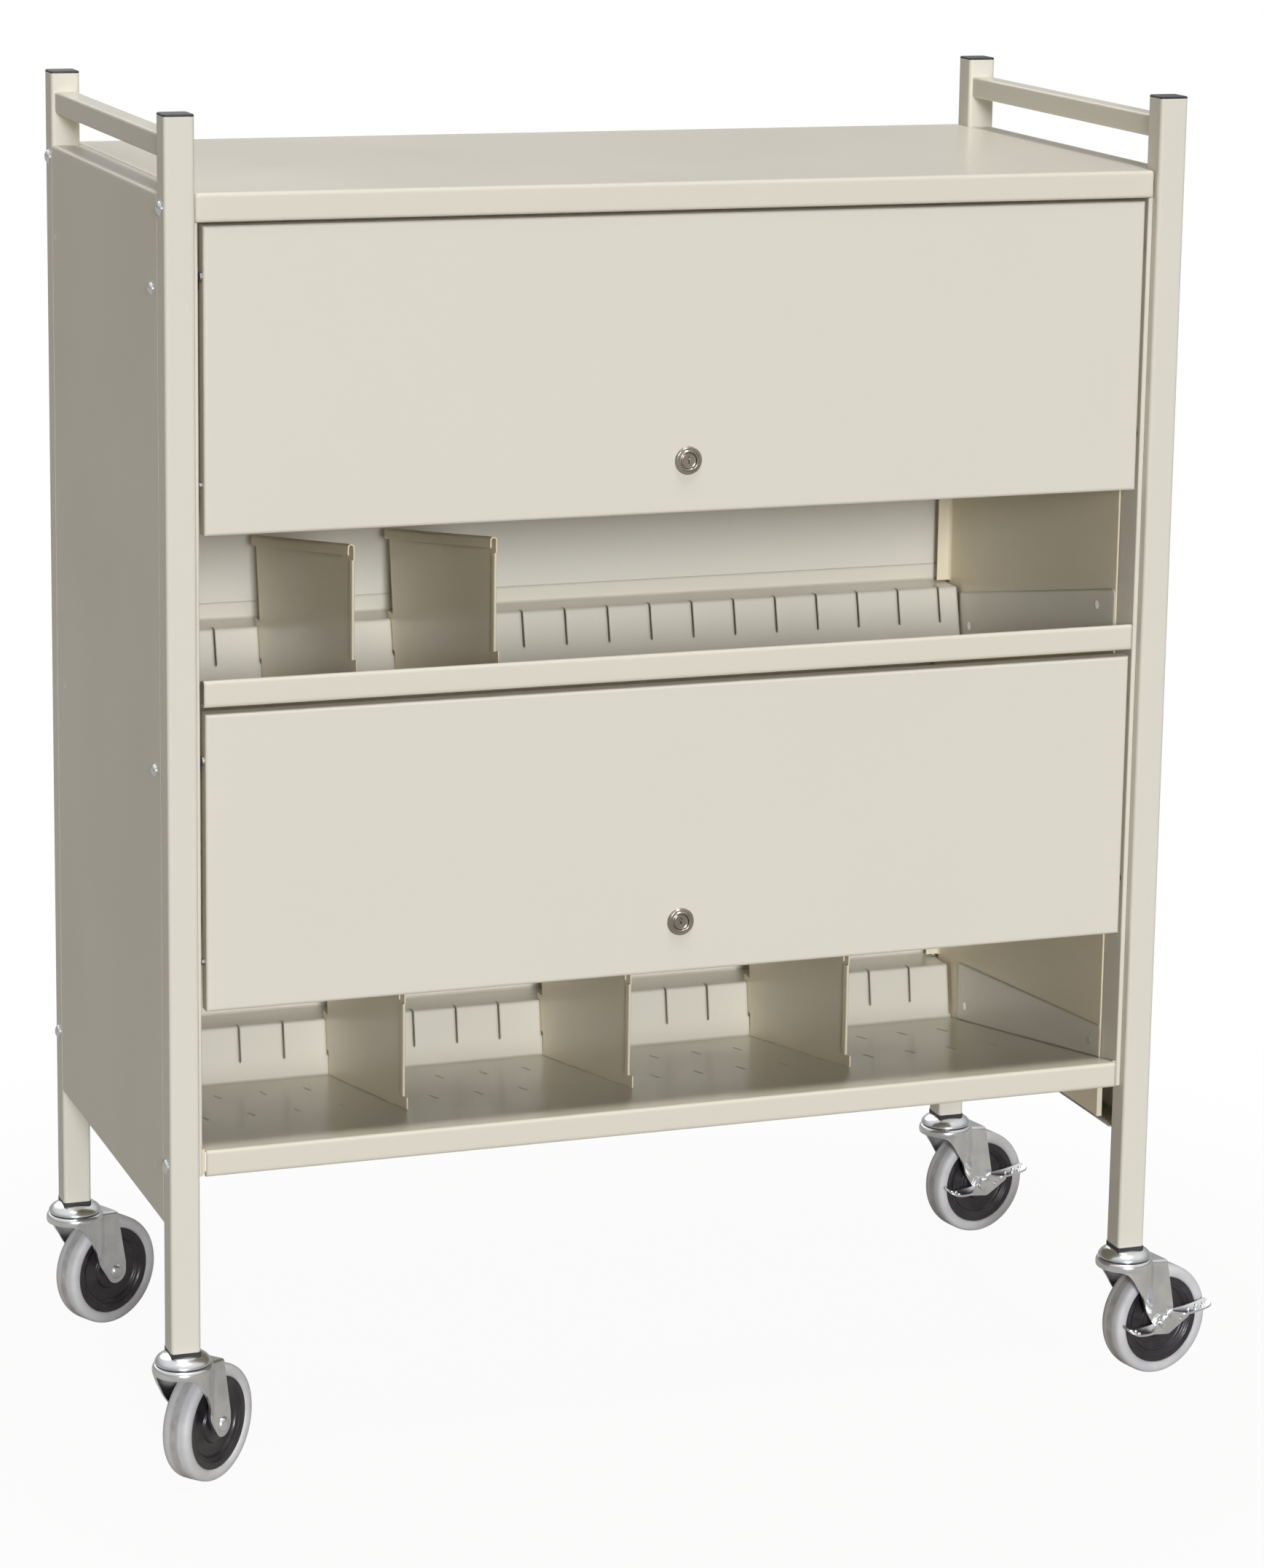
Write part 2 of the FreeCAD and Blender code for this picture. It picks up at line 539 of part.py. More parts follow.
# Dividers: sheet with a folded front edge and a rolled top, a tab in each floor slit and a
# hook in a wall slot.  Each lifts out square to the shelf floor.
def divider(name, across, edge, slope, front, top, rear_top):
    leaf = new_body(name, across=across)
    path = shelf_path(edge, slope)
    lean = "tan(atan(%s))" % slope
    foot_z = path[3][1]
    fall = "divider_fall * (%s)"
    roll = "13"

    def low(y, above="0.4"):
        return floor_at(edge, slope, y, above)

    def wall(z, behind):
        return "(floor_back + (%s - %s) * %s + %s)" % (z, foot_z, lean, behind)

    hook_low, hook_high = "(%s + 23)" % foot_z, "(%s + 5.6)" % path[4][1]
    foot = "(%s - hem)" % front
    tabs = []
    for y in ("slit_front", "slit_rear"):
        for where, drop in (("- 10", "0.4"), ("- 10", "-2.4"), ("+ 10", "-2.4"), ("+ 10", "0.4")):
            spot = "(%s %s)" % (y, where)
            tabs.append((spot, low(spot, drop)))
    back_y = "(floor_back - 1.5)"
    pad(leaf, "YZ", [
        (foot, low(foot))] + tabs + [
        (back_y, low(back_y)), (wall(hook_low, "-5"), hook_low), (wall(hook_low, "8"), hook_low),
        (wall(hook_high, "8"), hook_high), (wall(hook_high, "-7.5"), hook_high),
        (rear_top, "%s - %s - %s" % (top, roll, fall % (rear_top + " - " + front))),
        (front, "%s - %s" % (top, roll)), (front, low(front, "11")), (foot, low(foot, "11"))],
        "0", "sheet")
    pad(leaf, "YZ", [(front, low(front, "11")), (front + " + hem", low(front, "11")),
                     (front + " + hem", "%s - %s - %s" % (top, roll, fall % "hem")),
                     (front, "%s - %s" % (top, roll))], "-sheet", "sheet")
    sketch = new_sketch(leaf, "XZ")
    sketch.AttachmentOffset = Placement(
        Vector(0, 0, 0), Rotation(Vector(1, 0, 0), -math.degrees(math.atan(size("divider_fall")))))
    middle_y = "((%s + %s) / 2)" % (front, rear_top)
    sketch.setExpression("AttachmentOffset.Base.y", cells(
        "%s - %s" % (top, fall % (middle_y + " - " + front))))
    sketch.setExpression("AttachmentOffset.Base.z", cells("-" + middle_y))
    outline(sketch, bent([("sheet / 2", "-14"), ("-sheet", "0"), ("-4.6", "0"),
                          ("-5.6", "-9.5")]))
    prism(leaf, sketch, "(%s - %s) / cos(atan(divider_fall))" % (rear_top, front))
    return leaf


for number, place in enumerate((6.5, 3.5), start=1):
    divider("mid_divider_%d" % number, "-slot_pitch * %s" % place, *SHELVES["mid"][:2],
            "mid_divider_front", "divider_top_mid", "386")
for number, place in enumerate((-5, 0, 5), start=1):
    divider("bottom_divider_%d" % number, "slot_pitch * (%d)" % place, *SHELVES["bottom"][:2],
            "low_divider_front", "divider_top_low", "375")

# Caster stems: grip stem, domed cup and race, and the kingpin that the fork turns on.
stems = new_body("caster_stems")
for x, y in CORNERS:
    spun(stems, [("0", "stem_long"), ("stem_radius - 1.5", "stem_long"),
                 ("stem_radius", "stem_long - 1.5"), ("stem_radius", "-1.6")] + CUP_DOME
         + [("cup_radius", "-cup_foot + 1"), ("cup_radius", "-cup_foot"),
            ("race_radius", "-cup_foot"), ("race_radius", "-race_foot"),
            ("kingpin_radius", "-race_foot"), ("kingpin_radius", "-kingpin_foot + 2.8"),
            ("8", "-kingpin_foot + 2.8"), ("8", "-kingpin_foot"), ("0", "-kingpin_foot")], x, y)

# Casters: pressed fork on the kingpin, axle bolt, hub and grey tread.  Each trails its own
# way; the right-hand pair has a foot brake on the side that faces the front.
CASTERS = {("front", "left"): 40.9, ("front", "right"): 12.4,
           ("rear", "left"): 27.2, ("rear", "right"): 12.1}
AXLE, LEG_INNER = "wheel_radius", "(fork_half - fork_gauge)"
SWEEP = [("-14.7", "crown_foot"), ("-10", "102"), ("-6", "96.6"), ("-2.5", "91"),
         ("1", "86.5"), ("3.7", "81.5"), ("7", "75"), ("10", "69"), ("13.5", "61.5")]
HUB_STEPS = [("axle_radius + 0.08", "boss_half"), ("9", "boss_half"), ("10.4", "10.6"),
             ("17", "9.6"), ("18.2", "7"), ("29", "6"), ("31", "8.2"), ("33.6", "9.4"),
             ("35", "10.8"), ("hub_radius", "hub_half")]
TREAD_SHOULDER = [("hub_radius + 0.05", "hub_half - 0.2"), ("hub_radius + 1.2", "12.4"),
                  ("hub_radius + 3.5", "tread_half"), ("wheel_radius - 4", "tread_half"),
                  ("wheel_radius - 1.8", "12.2"), ("wheel_radius - 0.6", "10.5"),
                  ("wheel_radius", "tread_flat")]


def both_sides(points):
    """Outline of a wheel part: one side's points, then the same mirrored."""
    return points + [(radius, "-(%s)" % along) for radius, along in points[::-1]]


for (end, side), swing in CASTERS.items():
    name = "%s_%s" % (end, side)
    stem_x, stem_y = "%s * %s" % (SIDES[side], POST_X), ENDS[end]
    braked = side == "right"
    here = {"across": stem_x, "back": stem_y, "up": "-caster_height", "turn": swing}

    # The crown's skirt is cut away in a long sweep; behind the crease the legs are flat.
    fork = new_body("caster_fork_" + name, **here)
    wall = ("(crown_radius - 0.4 - fork_gauge)", "(crown_radius - 0.4)")
    spun(fork, box(wall[0], "crease + 35", wall[1], "crown_foot + 2"))
    pad(fork, "XZ", [("-30", "crease + 30"), ("-30", "crown_foot")] + SWEEP
        + [("crease", "crease + 36"), ("crease", "crease + 30")], "0", "80", cut=True)
    pad(fork, "XZ", box("crease + 0.5", "crease + 30", "crown_radius + 1", "crown_foot + 3"),
        "0", "80", cut=True)
    spun(fork, [("kingpin_radius + 0.1", "crown_top - 2.7"), ("kingpin_radius + 0.1", "crown_top"),
                ("race_radius + 0.6", "crown_top"), ("race_radius + 1.4", "crown_rim"),
                ("crown_radius - 2.4", "crown_rim"), ("crown_radius - 0.6", "crown_rim - 1.4"),
                ("crown_radius", "crown_rim - 3.8"), (wall[1], "crown_foot"),
                (wall[0], "crown_foot"), (wall[0], "crown_top - 2.7")])
    pad(fork, "XZ", [("15", "roof_high"), ("roof_end", "roof_low"),
                     ("roof_end", "roof_low - fork_gauge"), ("15", "roof_high - fork_gauge")],
        "0", "2 * fork_half")
    for way in ("-1", "1"):
        middle = "%s * (fork_half - fork_gauge / 2)" % way
        pad(fork, "XZ", [
            ("crease - 0.6", "roof_high - 0.8"), ("crease - 0.6", "57.6"), ("26.5", "45.1"),
            ("trail + 10.8", "52.5"), ("roof_end", "roof_low - 0.3"),
            ("crease + 3", "roof_high - 1.4")], middle, "fork_gauge")
        rod(fork, "XZ", [("trail", AXLE)], "fork_lobe", middle, "fork_gauge")
    pad(fork, "XZ", box("-5", "crease + 30", "trail + 12", "crown_foot - 2.5"),
        "0", "2 * %s" % LEG_INNER, cut=True)
    rod(fork, "XZ", [("trail", AXLE)], "axle_radius + 0.05", "0", "80", cut=True)
    far = "fork_half"
    near = "(fork_half + pedal_gap + pedal_gauge + 0.3)" if braked else "fork_half"
    axle = new_body("caster_axle_" + name, **here)
    rod(axle, "XZ", [("trail", AXLE)], "axle_radius", "(%s - %s) / 2" % (far, near),
        "%s + %s" % (far, near))
    for middle in ("%s + 1.7" % far, "-(%s + 1.7)" % near):
        rod(axle, "XZ", [("trail", AXLE)], "axle_head", middle, "3.4")
    round_edges(axle, "2.8", lambda edge: edge.Length > 40
                and abs(edge.CenterOfMass.y) > size(far) + 3.3)

    place = {"across": "%s + trail * cos(%s)" % (stem_x, swing),
             "back": "%s + trail * sin(%s)" % (stem_y, swing),
             "up": "wheel_radius - caster_height", "turn": swing}
    turned(new_body("caster_hub_" + name, **place), both_sides(HUB_STEPS))
    turned(new_body("caster_tread_" + name, **place), both_sides(TREAD_SHOULDER))

    # The brake's plate hangs on the axle, its upper edge turned out into two ears.
    if braked:
        pedal = new_body("brake_pedal_" + name, **here)
        inside = "(fork_half + pedal_gap)"
        pad(pedal, "XZ", [
            ("trail - 17", AXLE + " - 8.6"), ("trail + 4", AXLE + " - 12.2"),
            ("trail + 28", AXLE + " + 1.2"), ("trail + 24", AXLE + " + 6.4"),
            ("trail + 12", AXLE + " + 4.4"), ("trail + 8", AXLE + " + 8"),
            ("trail - 8", AXLE + " + 8"), ("trail - 14", AXLE + " - 3")],
            "-(%s + pedal_gauge / 2)" % inside, "pedal_gauge")
        wave = [("trail - 50", AXLE + " + 3"), ("trail - 44", AXLE + " - 1"),
                ("trail - 36", AXLE + " - 2.8"), ("trail - 14", AXLE + " - 2.6"),
                ("trail + 4", AXLE + " + 5.4"), ("trail + 13", AXLE + " + 5"),
                ("trail + 22", AXLE + " + 7.4"), ("trail + 32", AXLE + " + 8.6"),
                ("trail + 43", AXLE + " + 11")]
        pad(pedal, "XZ", bent(wave, -1, "1.8"), "-(%s + ear_wide / 2)" % inside, "ear_wide")
        round_edges(pedal, "5", lambda edge: edge.Length < 2.6
                    and at(edge, y=-size(inside + " + ear_wide"))
                    and abs(edge.CenterOfMass.x - size("trail")) > 40)
        pad(pedal, "XZ", box("trail - 12", AXLE + " - 20", "trail + 12", AXLE + " + 14"),
            "-(%s + pedal_gauge + 10)" % inside, "20", cut=True)
        rod(pedal, "XZ", [("trail", AXLE)], "axle_radius + 0.1",
            "-(%s + 1)" % inside, "8", cut=True)

doc.recompute()
os.makedirs("parts", exist_ok=True)
pieces = [item for item in doc.Objects if item.TypeId == "PartDesign::Body"]
for piece in pieces:
    faulty = [step.Name for step in piece.Group if {"Invalid", "Error"} & set(step.State)]
    if faulty or piece.Shape.isNull() or not piece.Shape.isValid():
        raise RuntimeError("%s did not build: %s" % (piece.Label, faulty))
    piece.Shape.exportStep("parts/%s.step" % piece.Label)
print("%d pieces written" % len(pieces))
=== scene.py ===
import math

import bmesh
import bpy
from mathutils import Matrix, Vector


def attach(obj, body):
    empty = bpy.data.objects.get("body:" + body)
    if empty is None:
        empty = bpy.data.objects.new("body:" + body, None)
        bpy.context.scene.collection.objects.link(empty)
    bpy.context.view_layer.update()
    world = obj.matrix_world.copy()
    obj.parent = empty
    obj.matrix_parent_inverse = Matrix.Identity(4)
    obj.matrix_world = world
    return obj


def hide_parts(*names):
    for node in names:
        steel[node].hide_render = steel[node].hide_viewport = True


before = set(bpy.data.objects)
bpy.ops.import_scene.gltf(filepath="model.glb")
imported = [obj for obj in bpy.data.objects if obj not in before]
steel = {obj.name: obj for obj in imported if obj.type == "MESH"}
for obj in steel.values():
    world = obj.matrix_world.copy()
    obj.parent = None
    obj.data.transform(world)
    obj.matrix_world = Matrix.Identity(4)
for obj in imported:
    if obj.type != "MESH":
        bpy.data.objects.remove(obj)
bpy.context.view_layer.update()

# Camera: a long lens in front of the rack and to its left, a little above its top, so that
# the top tray, both bays and the left side panel all show.
turn, dip, lean = math.radians(-20.233), math.radians(11.787), math.radians(0.914)
ahead = Vector((-math.sin(turn) * math.cos(dip), math.cos(turn) * math.cos(dip), -math.sin(dip)))
level = Vector((math.cos(turn), math.sin(turn), 0))
upright = level.cross(ahead)
across = math.cos(lean) * level + math.sin(lean) * upright
upward = math.cos(lean) * upright - math.sin(lean) * level
lens = bpy.data.cameras.new("camera")
lens.lens, lens.sensor_width = 6244.8 * 36 / 2153, 36
lens.shift_x, lens.shift_y = -40 / 2153, -215 / 2153
camera = bpy.data.objects.new("camera", lens)
camera.matrix_world = Matrix.Translation((-1.3507, -3.7383, 1.5061)) @ Matrix(
    (across, upward, -ahead)).transposed().to_4x4()
bpy.context.scene.collection.objects.link(camera)
bpy.context.scene.camera = camera
bpy.context.scene.view_settings.view_transform = "Standard"

# Studio: white seamless paper under and behind the rack. It takes the rack's soft shadow near
# the wheels and fades to plain white further out; polished metal sees part of that white.
paper = bpy.data.materials.new("seamless_paper")
paper.use_nodes = True
tree = paper.node_tree
matt = tree.nodes["Principled BSDF"]
matt.inputs["Base Color"].default_value = (0.38, 0.35, 0.30, 1)
matt.inputs["Roughness"].default_value = 0.9
matt.inputs["Specular IOR Level"].default_value = 0.1
white = tree.nodes.new("ShaderNodeEmission")
white.inputs["Strength"].default_value = 1
where = tree.nodes.new("ShaderNodeTexCoord")
reach = tree.nodes.new("ShaderNodeVectorMath")
reach.operation = "LENGTH"
fade = tree.nodes.new("ShaderNodeMapRange")
fade.interpolation_type = "SMOOTHSTEP"
fade.inputs["From Min"].default_value, fade.inputs["From Max"].default_value = 0.4, 1.2
fade.inputs["To Min"].default_value = 0.95
seen = tree.nodes.new("ShaderNodeLightPath")
mirror_share = 0.30
watched = tree.nodes.new("ShaderNodeMath")
watched.operation = "MULTIPLY_ADD"
watched.inputs[1].default_value = mirror_share
share = tree.nodes.new("ShaderNodeMath")
share.operation = "MULTIPLY"
blend = tree.nodes.new("ShaderNodeMixShader")
tree.links.new(where.outputs["Object"], reach.inputs[0])
tree.links.new(reach.outputs["Value"], fade.inputs["Value"])
tree.links.new(seen.outputs["Is Glossy Ray"], watched.inputs[0])
tree.links.new(seen.outputs["Is Camera Ray"], watched.inputs[2])
tree.links.new(fade.outputs["Result"], share.inputs[0])
tree.links.new(watched.outputs["Value"], share.inputs[1])
tree.links.new(share.outputs["Value"], blend.inputs[0])
tree.links.new(matt.outputs["BSDF"], blend.inputs[1])
tree.links.new(white.outputs["Emission"], blend.inputs[2])
tree.links.new(blend.outputs["Shader"], tree.nodes["Material Output"].inputs["Surface"])
sweep = bpy.data.meshes.new("paper")
sweep.from_pydata([(-60, -60, 0), (60, -60, 0), (60, 60, 0), (-60, 60, 0)], [], [(0, 1, 2, 3)])
floor = bpy.data.objects.new("paper", sweep)
floor.data.materials.append(paper)
bpy.context.scene.collection.objects.link(floor)

# Studio light: a dim warm room, white to the camera and brighter overhead in reflections, a
# broad key from the front, low enough to reach the back of both bays, a light overhead that
# glints on the folds, and a faint fill from behind.
room = bpy.data.worlds.new("room")
bpy.context.scene.world = room
room.use_nodes = True
tree = room.node_tree
glow = tree.nodes["Background"]
glow.inputs["Color"].default_value = (1.0, 0.93, 0.79, 1)
glow.inputs["Strength"].default_value = 0.08
open_white = tree.nodes.new("ShaderNodeBackground")
mirrored = tree.nodes.new("ShaderNodeBackground")
compass = tree.nodes.new("ShaderNodeTexCoord")
split = tree.nodes.new("ShaderNodeSeparateXYZ")
climb = tree.nodes.new("ShaderNodeMapRange")
climb.interpolation_type = "SMOOTHSTEP"
climb.inputs["From Min"].default_value, climb.inputs["From Max"].default_value = 0.0, 0.85
climb.inputs["To Min"].default_value, climb.inputs["To Max"].default_value = 0.40, 1.1
path = tree.nodes.new("ShaderNodeLightPath")
glossy_or_not = tree.nodes.new("ShaderNodeMixShader")
camera_or_not = tree.nodes.new("ShaderNodeMixShader")
tree.links.new(compass.outputs["Generated"], split.inputs["Vector"])
tree.links.new(split.outputs["Z"], climb.inputs["Value"])
tree.links.new(climb.outputs["Result"], mirrored.inputs["Strength"])
tree.links.new(path.outputs["Is Glossy Ray"], glossy_or_not.inputs[0])
tree.links.new(glow.outputs["Background"], glossy_or_not.inputs[1])
tree.links.new(mirrored.outputs["Background"], glossy_or_not.inputs[2])
tree.links.new(path.outputs["Is Camera Ray"], camera_or_not.inputs[0])
tree.links.new(glossy_or_not.outputs["Shader"], camera_or_not.inputs[1])
tree.links.new(open_white.outputs["Background"], camera_or_not.inputs[2])
tree.links.new(camera_or_not.outputs["Shader"], tree.nodes["World Output"].inputs["Surface"])
for name, toward, strength, spread, shade in (
        ("key", (0.15, 0.96, -0.21), 2.03, 12, (0.92, 0.95, 1.0)),
        ("top", (0, 0.22, -1), 1.5, 16, (1.0, 0.99, 0.95)),
        ("fill", (0.0, -0.8, -0.6), 0.6, 40, (1.0, 1.0, 1.0))):
    sun = bpy.data.lights.new(name, "SUN")
    sun.energy, sun.angle, sun.color = strength, math.radians(spread), shade
    lamp = bpy.data.objects.new(name, sun)
    lamp.rotation_mode = "QUATERNION"
    lamp.rotation_quaternion = Vector(toward).to_track_quat("-Z", "Y")
    bpy.context.scene.collection.objects.link(lamp)


# Tube frame: four one-inch square posts and two smaller handrails, welded and then powder
# coated. The coat is a satin cream with a fine orange peel, a shade uneven over long runs.
def powder_coat(name, pale, deep, gloss, bend, level=0.4, lacquer=0.1):
    finish = bpy.data.materials.new(name)
    finish.use_nodes = True
    tree = finish.node_tree
    coat = tree.nodes["Principled BSDF"]
    coat.inputs["Specular IOR Level"].default_value = level
    coat.inputs["Coat Weight"].default_value = lacquer
    coat.inputs["Coat Roughness"].default_value = 0.2
    where = tree.nodes.new("ShaderNodeTexCoord")
    drift = tree.nodes.new("ShaderNodeTexNoise")
    drift.inputs["Scale"].default_value = 5
    drift.inputs["Detail"].default_value = 3
    grain = tree.nodes.new("ShaderNodeTexNoise")
    grain.inputs["Scale"].default_value = 900
    grain.inputs["Detail"].default_value = 1
    peel = tree.nodes.new("ShaderNodeTexNoise")
    peel.inputs["Scale"].default_value = 420
    peel.inputs["Detail"].default_value = 2
    tint = tree.nodes.new("ShaderNodeMix")
    tint.data_type = "RGBA"
    tint.inputs["A"].default_value = pale
    tint.inputs["B"].default_value = deep
    mixed = tree.nodes.new("ShaderNodeMath")
    mixed.operation = "MULTIPLY_ADD"
    mixed.inputs[1].default_value = 0.35
    sheen = tree.nodes.new("ShaderNodeMapRange")
    sheen.inputs["From Min"].default_value, sheen.inputs["From Max"].default_value = 0.3, 0.7
    sheen.inputs["To Min"].default_value = gloss - 0.04
    sheen.inputs["To Max"].default_value = gloss + 0.05
    bends = tree.nodes.new("ShaderNodeBevel")
    bends.samples = 6
    bends.inputs["Radius"].default_value = bend
    skin = tree.nodes.new("ShaderNodeBump")
    skin.inputs["Strength"].default_value = 0.35
    skin.inputs["Distance"].default_value = 0.00006
    tree.links.new(bends.outputs["Normal"], skin.inputs["Normal"])
    for noise in (drift, grain, peel):
        tree.links.new(where.outputs["Object"], noise.inputs["Vector"])
    tree.links.new(grain.outputs["Fac"], mixed.inputs[0])
    tree.links.new(drift.outputs["Fac"], mixed.inputs[2])
    tree.links.new(mixed.outputs["Value"], tint.inputs["Factor"])
    tree.links.new(tint.outputs["Result"], coat.inputs["Base Color"])
    tree.links.new(drift.outputs["Fac"], sheen.inputs["Value"])
    tree.links.new(sheen.outputs["Result"], coat.inputs["Roughness"])
    tree.links.new(peel.outputs["Fac"], skin.inputs["Height"])
    tree.links.new(skin.outputs["Normal"], coat.inputs["Normal"])
    return finish


def dress(names, finish):
    for name in names:
        for held in steel[name].material_slots:
            held.material = finish


cream = powder_coat("cream_powder_coat", (0.83, 0.795, 0.695, 1), (0.80, 0.762, 0.662, 1), 0.34,
                    0.0016)
dress(["post_front_left", "post_front_right", "post_rear_left", "post_rear_right",
       "handrail_left", "handrail_right"], cream)

# Cabinet: folded sheet steel with the same coat. Two side panels with their flange turned in,
# the narrow channels beside the doors, the doors and the back panel; the top tray and the two
# sloping shelves have rounder folds.
dress(["side_panel_left", "side_panel_right", "front_stile_left", "front_stile_right",
       "back_panel", "upper_door", "lower_door"], cream)
folded = powder_coat("folded_powder_coat", (0.83, 0.79, 0.675, 1), (0.80, 0.757, 0.642, 1), 0.32,
                     0.0040, level=0.5, lacquer=0.3)
dress(["top_tray", "mid_shelf", "bottom_shelf"], folded)

# Inside: the liners beside the shelves and the dividers, from the same sheet. Their coat is the
# same cream painted brighter and warmer: painted bounce light, standing in for the warm light
# thrown about inside the bays.
inner = powder_coat("inner_coat_painted_bounce", (0.92, 0.82, 0.62, 1), (0.89, 0.79, 0.59, 1), 0.36, 0.0006)
dress(["liner_left", "liner_right"], inner)


# Plugs and boots: black polyethylene pressed into both ends of each post, with a fine
# moulded grain and a rubbed edge.
def moulded(name, dark, worn, gloss, grain):
    finish = bpy.data.materials.new(name)
    finish.use_nodes = True
    tree = finish.node_tree
    skin = tree.nodes["Principled BSDF"]
    where = tree.nodes.new("ShaderNodeTexCoord")
    dust = tree.nodes.new("ShaderNodeTexNoise")
    dust.inputs["Scale"].default_value = 70
    dust.inputs["Detail"].default_value = 5
    pits = tree.nodes.new("ShaderNodeTexNoise")
    pits.inputs["Scale"].default_value = grain
    pits.inputs["Detail"].default_value = 2
    ramp = tree.nodes.new("ShaderNodeMapRange")
    ramp.inputs["From Min"].default_value, ramp.inputs["From Max"].default_value = 0.42, 0.72
    tint = tree.nodes.new("ShaderNodeMix")
    tint.data_type = "RGBA"
    tint.inputs["A"].default_value = dark
    tint.inputs["B"].default_value = worn
    rough = tree.nodes.new("ShaderNodeMapRange")
    rough.inputs["To Min"].default_value = gloss
    rough.inputs["To Max"].default_value = gloss + 0.15
    bump = tree.nodes.new("ShaderNodeBump")
    bump.inputs["Strength"].default_value = 0.3
    bump.inputs["Distance"].default_value = 0.0001
    tree.links.new(where.outputs["Object"], dust.inputs["Vector"])
    tree.links.new(where.outputs["Object"], pits.inputs["Vector"])
    tree.links.new(dust.outputs["Fac"], ramp.inputs["Value"])
    tree.links.new(ramp.outputs["Result"], tint.inputs["Factor"])
    tree.links.new(tint.outputs["Result"], skin.inputs["Base Color"])
    tree.links.new(dust.outputs["Fac"], rough.inputs["Value"])
    tree.links.new(rough.outputs["Result"], skin.inputs["Roughness"])
    tree.links.new(pits.outputs["Fac"], bump.inputs["Height"])
    tree.links.new(bump.outputs["Normal"], skin.inputs["Normal"])
    return finish


plug_plastic = moulded("plug_plastic", (0.018, 0.018, 0.02, 1), (0.045, 0.044, 0.045, 1),
                       0.42, 1500)
dress(["post_caps", "caster_boots"], plug_plastic)


# Tracks, carriages and lock rods: plain bright steel, drawn or rolled, with fine lines along
# the rack and the dull patches that handling leaves.
def bare_metal(name, bright, dull, smooth, rough, stretch, scale):
    finish = bpy.data.materials.new(name)
    finish.use_nodes = True
    tree = finish.node_tree
    skin = tree.nodes["Principled BSDF"]
    skin.inputs["Metallic"].default_value = 1
    where = tree.nodes.new("ShaderNodeTexCoord")
    place = tree.nodes.new("ShaderNodeMapping")
    place.inputs["Scale"].default_value = stretch
    lines = tree.nodes.new("ShaderNodeTexNoise")
    lines.inputs["Scale"].default_value = scale
    lines.inputs["Detail"].default_value = 4
    cloud = tree.nodes.new("ShaderNodeTexNoise")
    cloud.inputs["Scale"].default_value = 55
    cloud.inputs["Detail"].default_value = 4
    spread = tree.nodes.new("ShaderNodeMapRange")
    spread.inputs["From Min"].default_value, spread.inputs["From Max"].default_value = 0.35, 0.7
    tint = tree.nodes.new("ShaderNodeMix")
    tint.data_type = "RGBA"
    tint.inputs["A"].default_value = bright
    tint.inputs["B"].default_value = dull
    grade = tree.nodes.new("ShaderNodeMapRange")
    grade.inputs["To Min"].default_value, grade.inputs["To Max"].default_value = smooth, rough
    bump = tree.nodes.new("ShaderNodeBump")
    bump.inputs["Strength"].default_value = 0.25
    bump.inputs["Distance"].default_value = 0.00005
    tree.links.new(where.outputs["Object"], place.inputs["Vector"])
    tree.links.new(place.outputs["Vector"], lines.inputs["Vector"])
    tree.links.new(where.outputs["Object"], cloud.inputs["Vector"])
    tree.links.new(cloud.outputs["Fac"], spread.inputs["Value"])
    tree.links.new(spread.outputs["Result"], tint.inputs["Factor"])
    tree.links.new(tint.outputs["Result"], skin.inputs["Base Color"])
    tree.links.new(lines.outputs["Fac"], grade.inputs["Value"])
    tree.links.new(grade.outputs["Result"], skin.inputs["Roughness"])
    tree.links.new(lines.outputs["Fac"], bump.inputs["Height"])
    tree.links.new(bump.outputs["Normal"], skin.inputs["Normal"])
    return finish


rolled = bare_metal("rolled_steel", (0.50, 0.50, 0.49, 1), (0.38, 0.375, 0.36, 1), 0.28, 0.5,
                    (1, 0.05, 1), 900)
dress(["upper_tracks", "lower_tracks", "upper_carriage", "lower_carriage",
       "upper_lock_rod_left", "upper_lock_rod_right", "lower_lock_rod_left",
       "lower_lock_rod_right"], rolled)

# Bolts and screws: zinc-plated steel. Domed heads with a thin flange hold the posts and the
# door tracks; pan heads with a crossed recess hold the shelves' end flanges. They are placed
# from the rack's middle plane, the posts' front face and the posts' lower ends.
zinc = bare_metal("bright_zinc", (0.80, 0.81, 0.82, 1), (0.66, 0.67, 0.68, 1), 0.20, 0.27,
                  (1, 1, 1), 240)


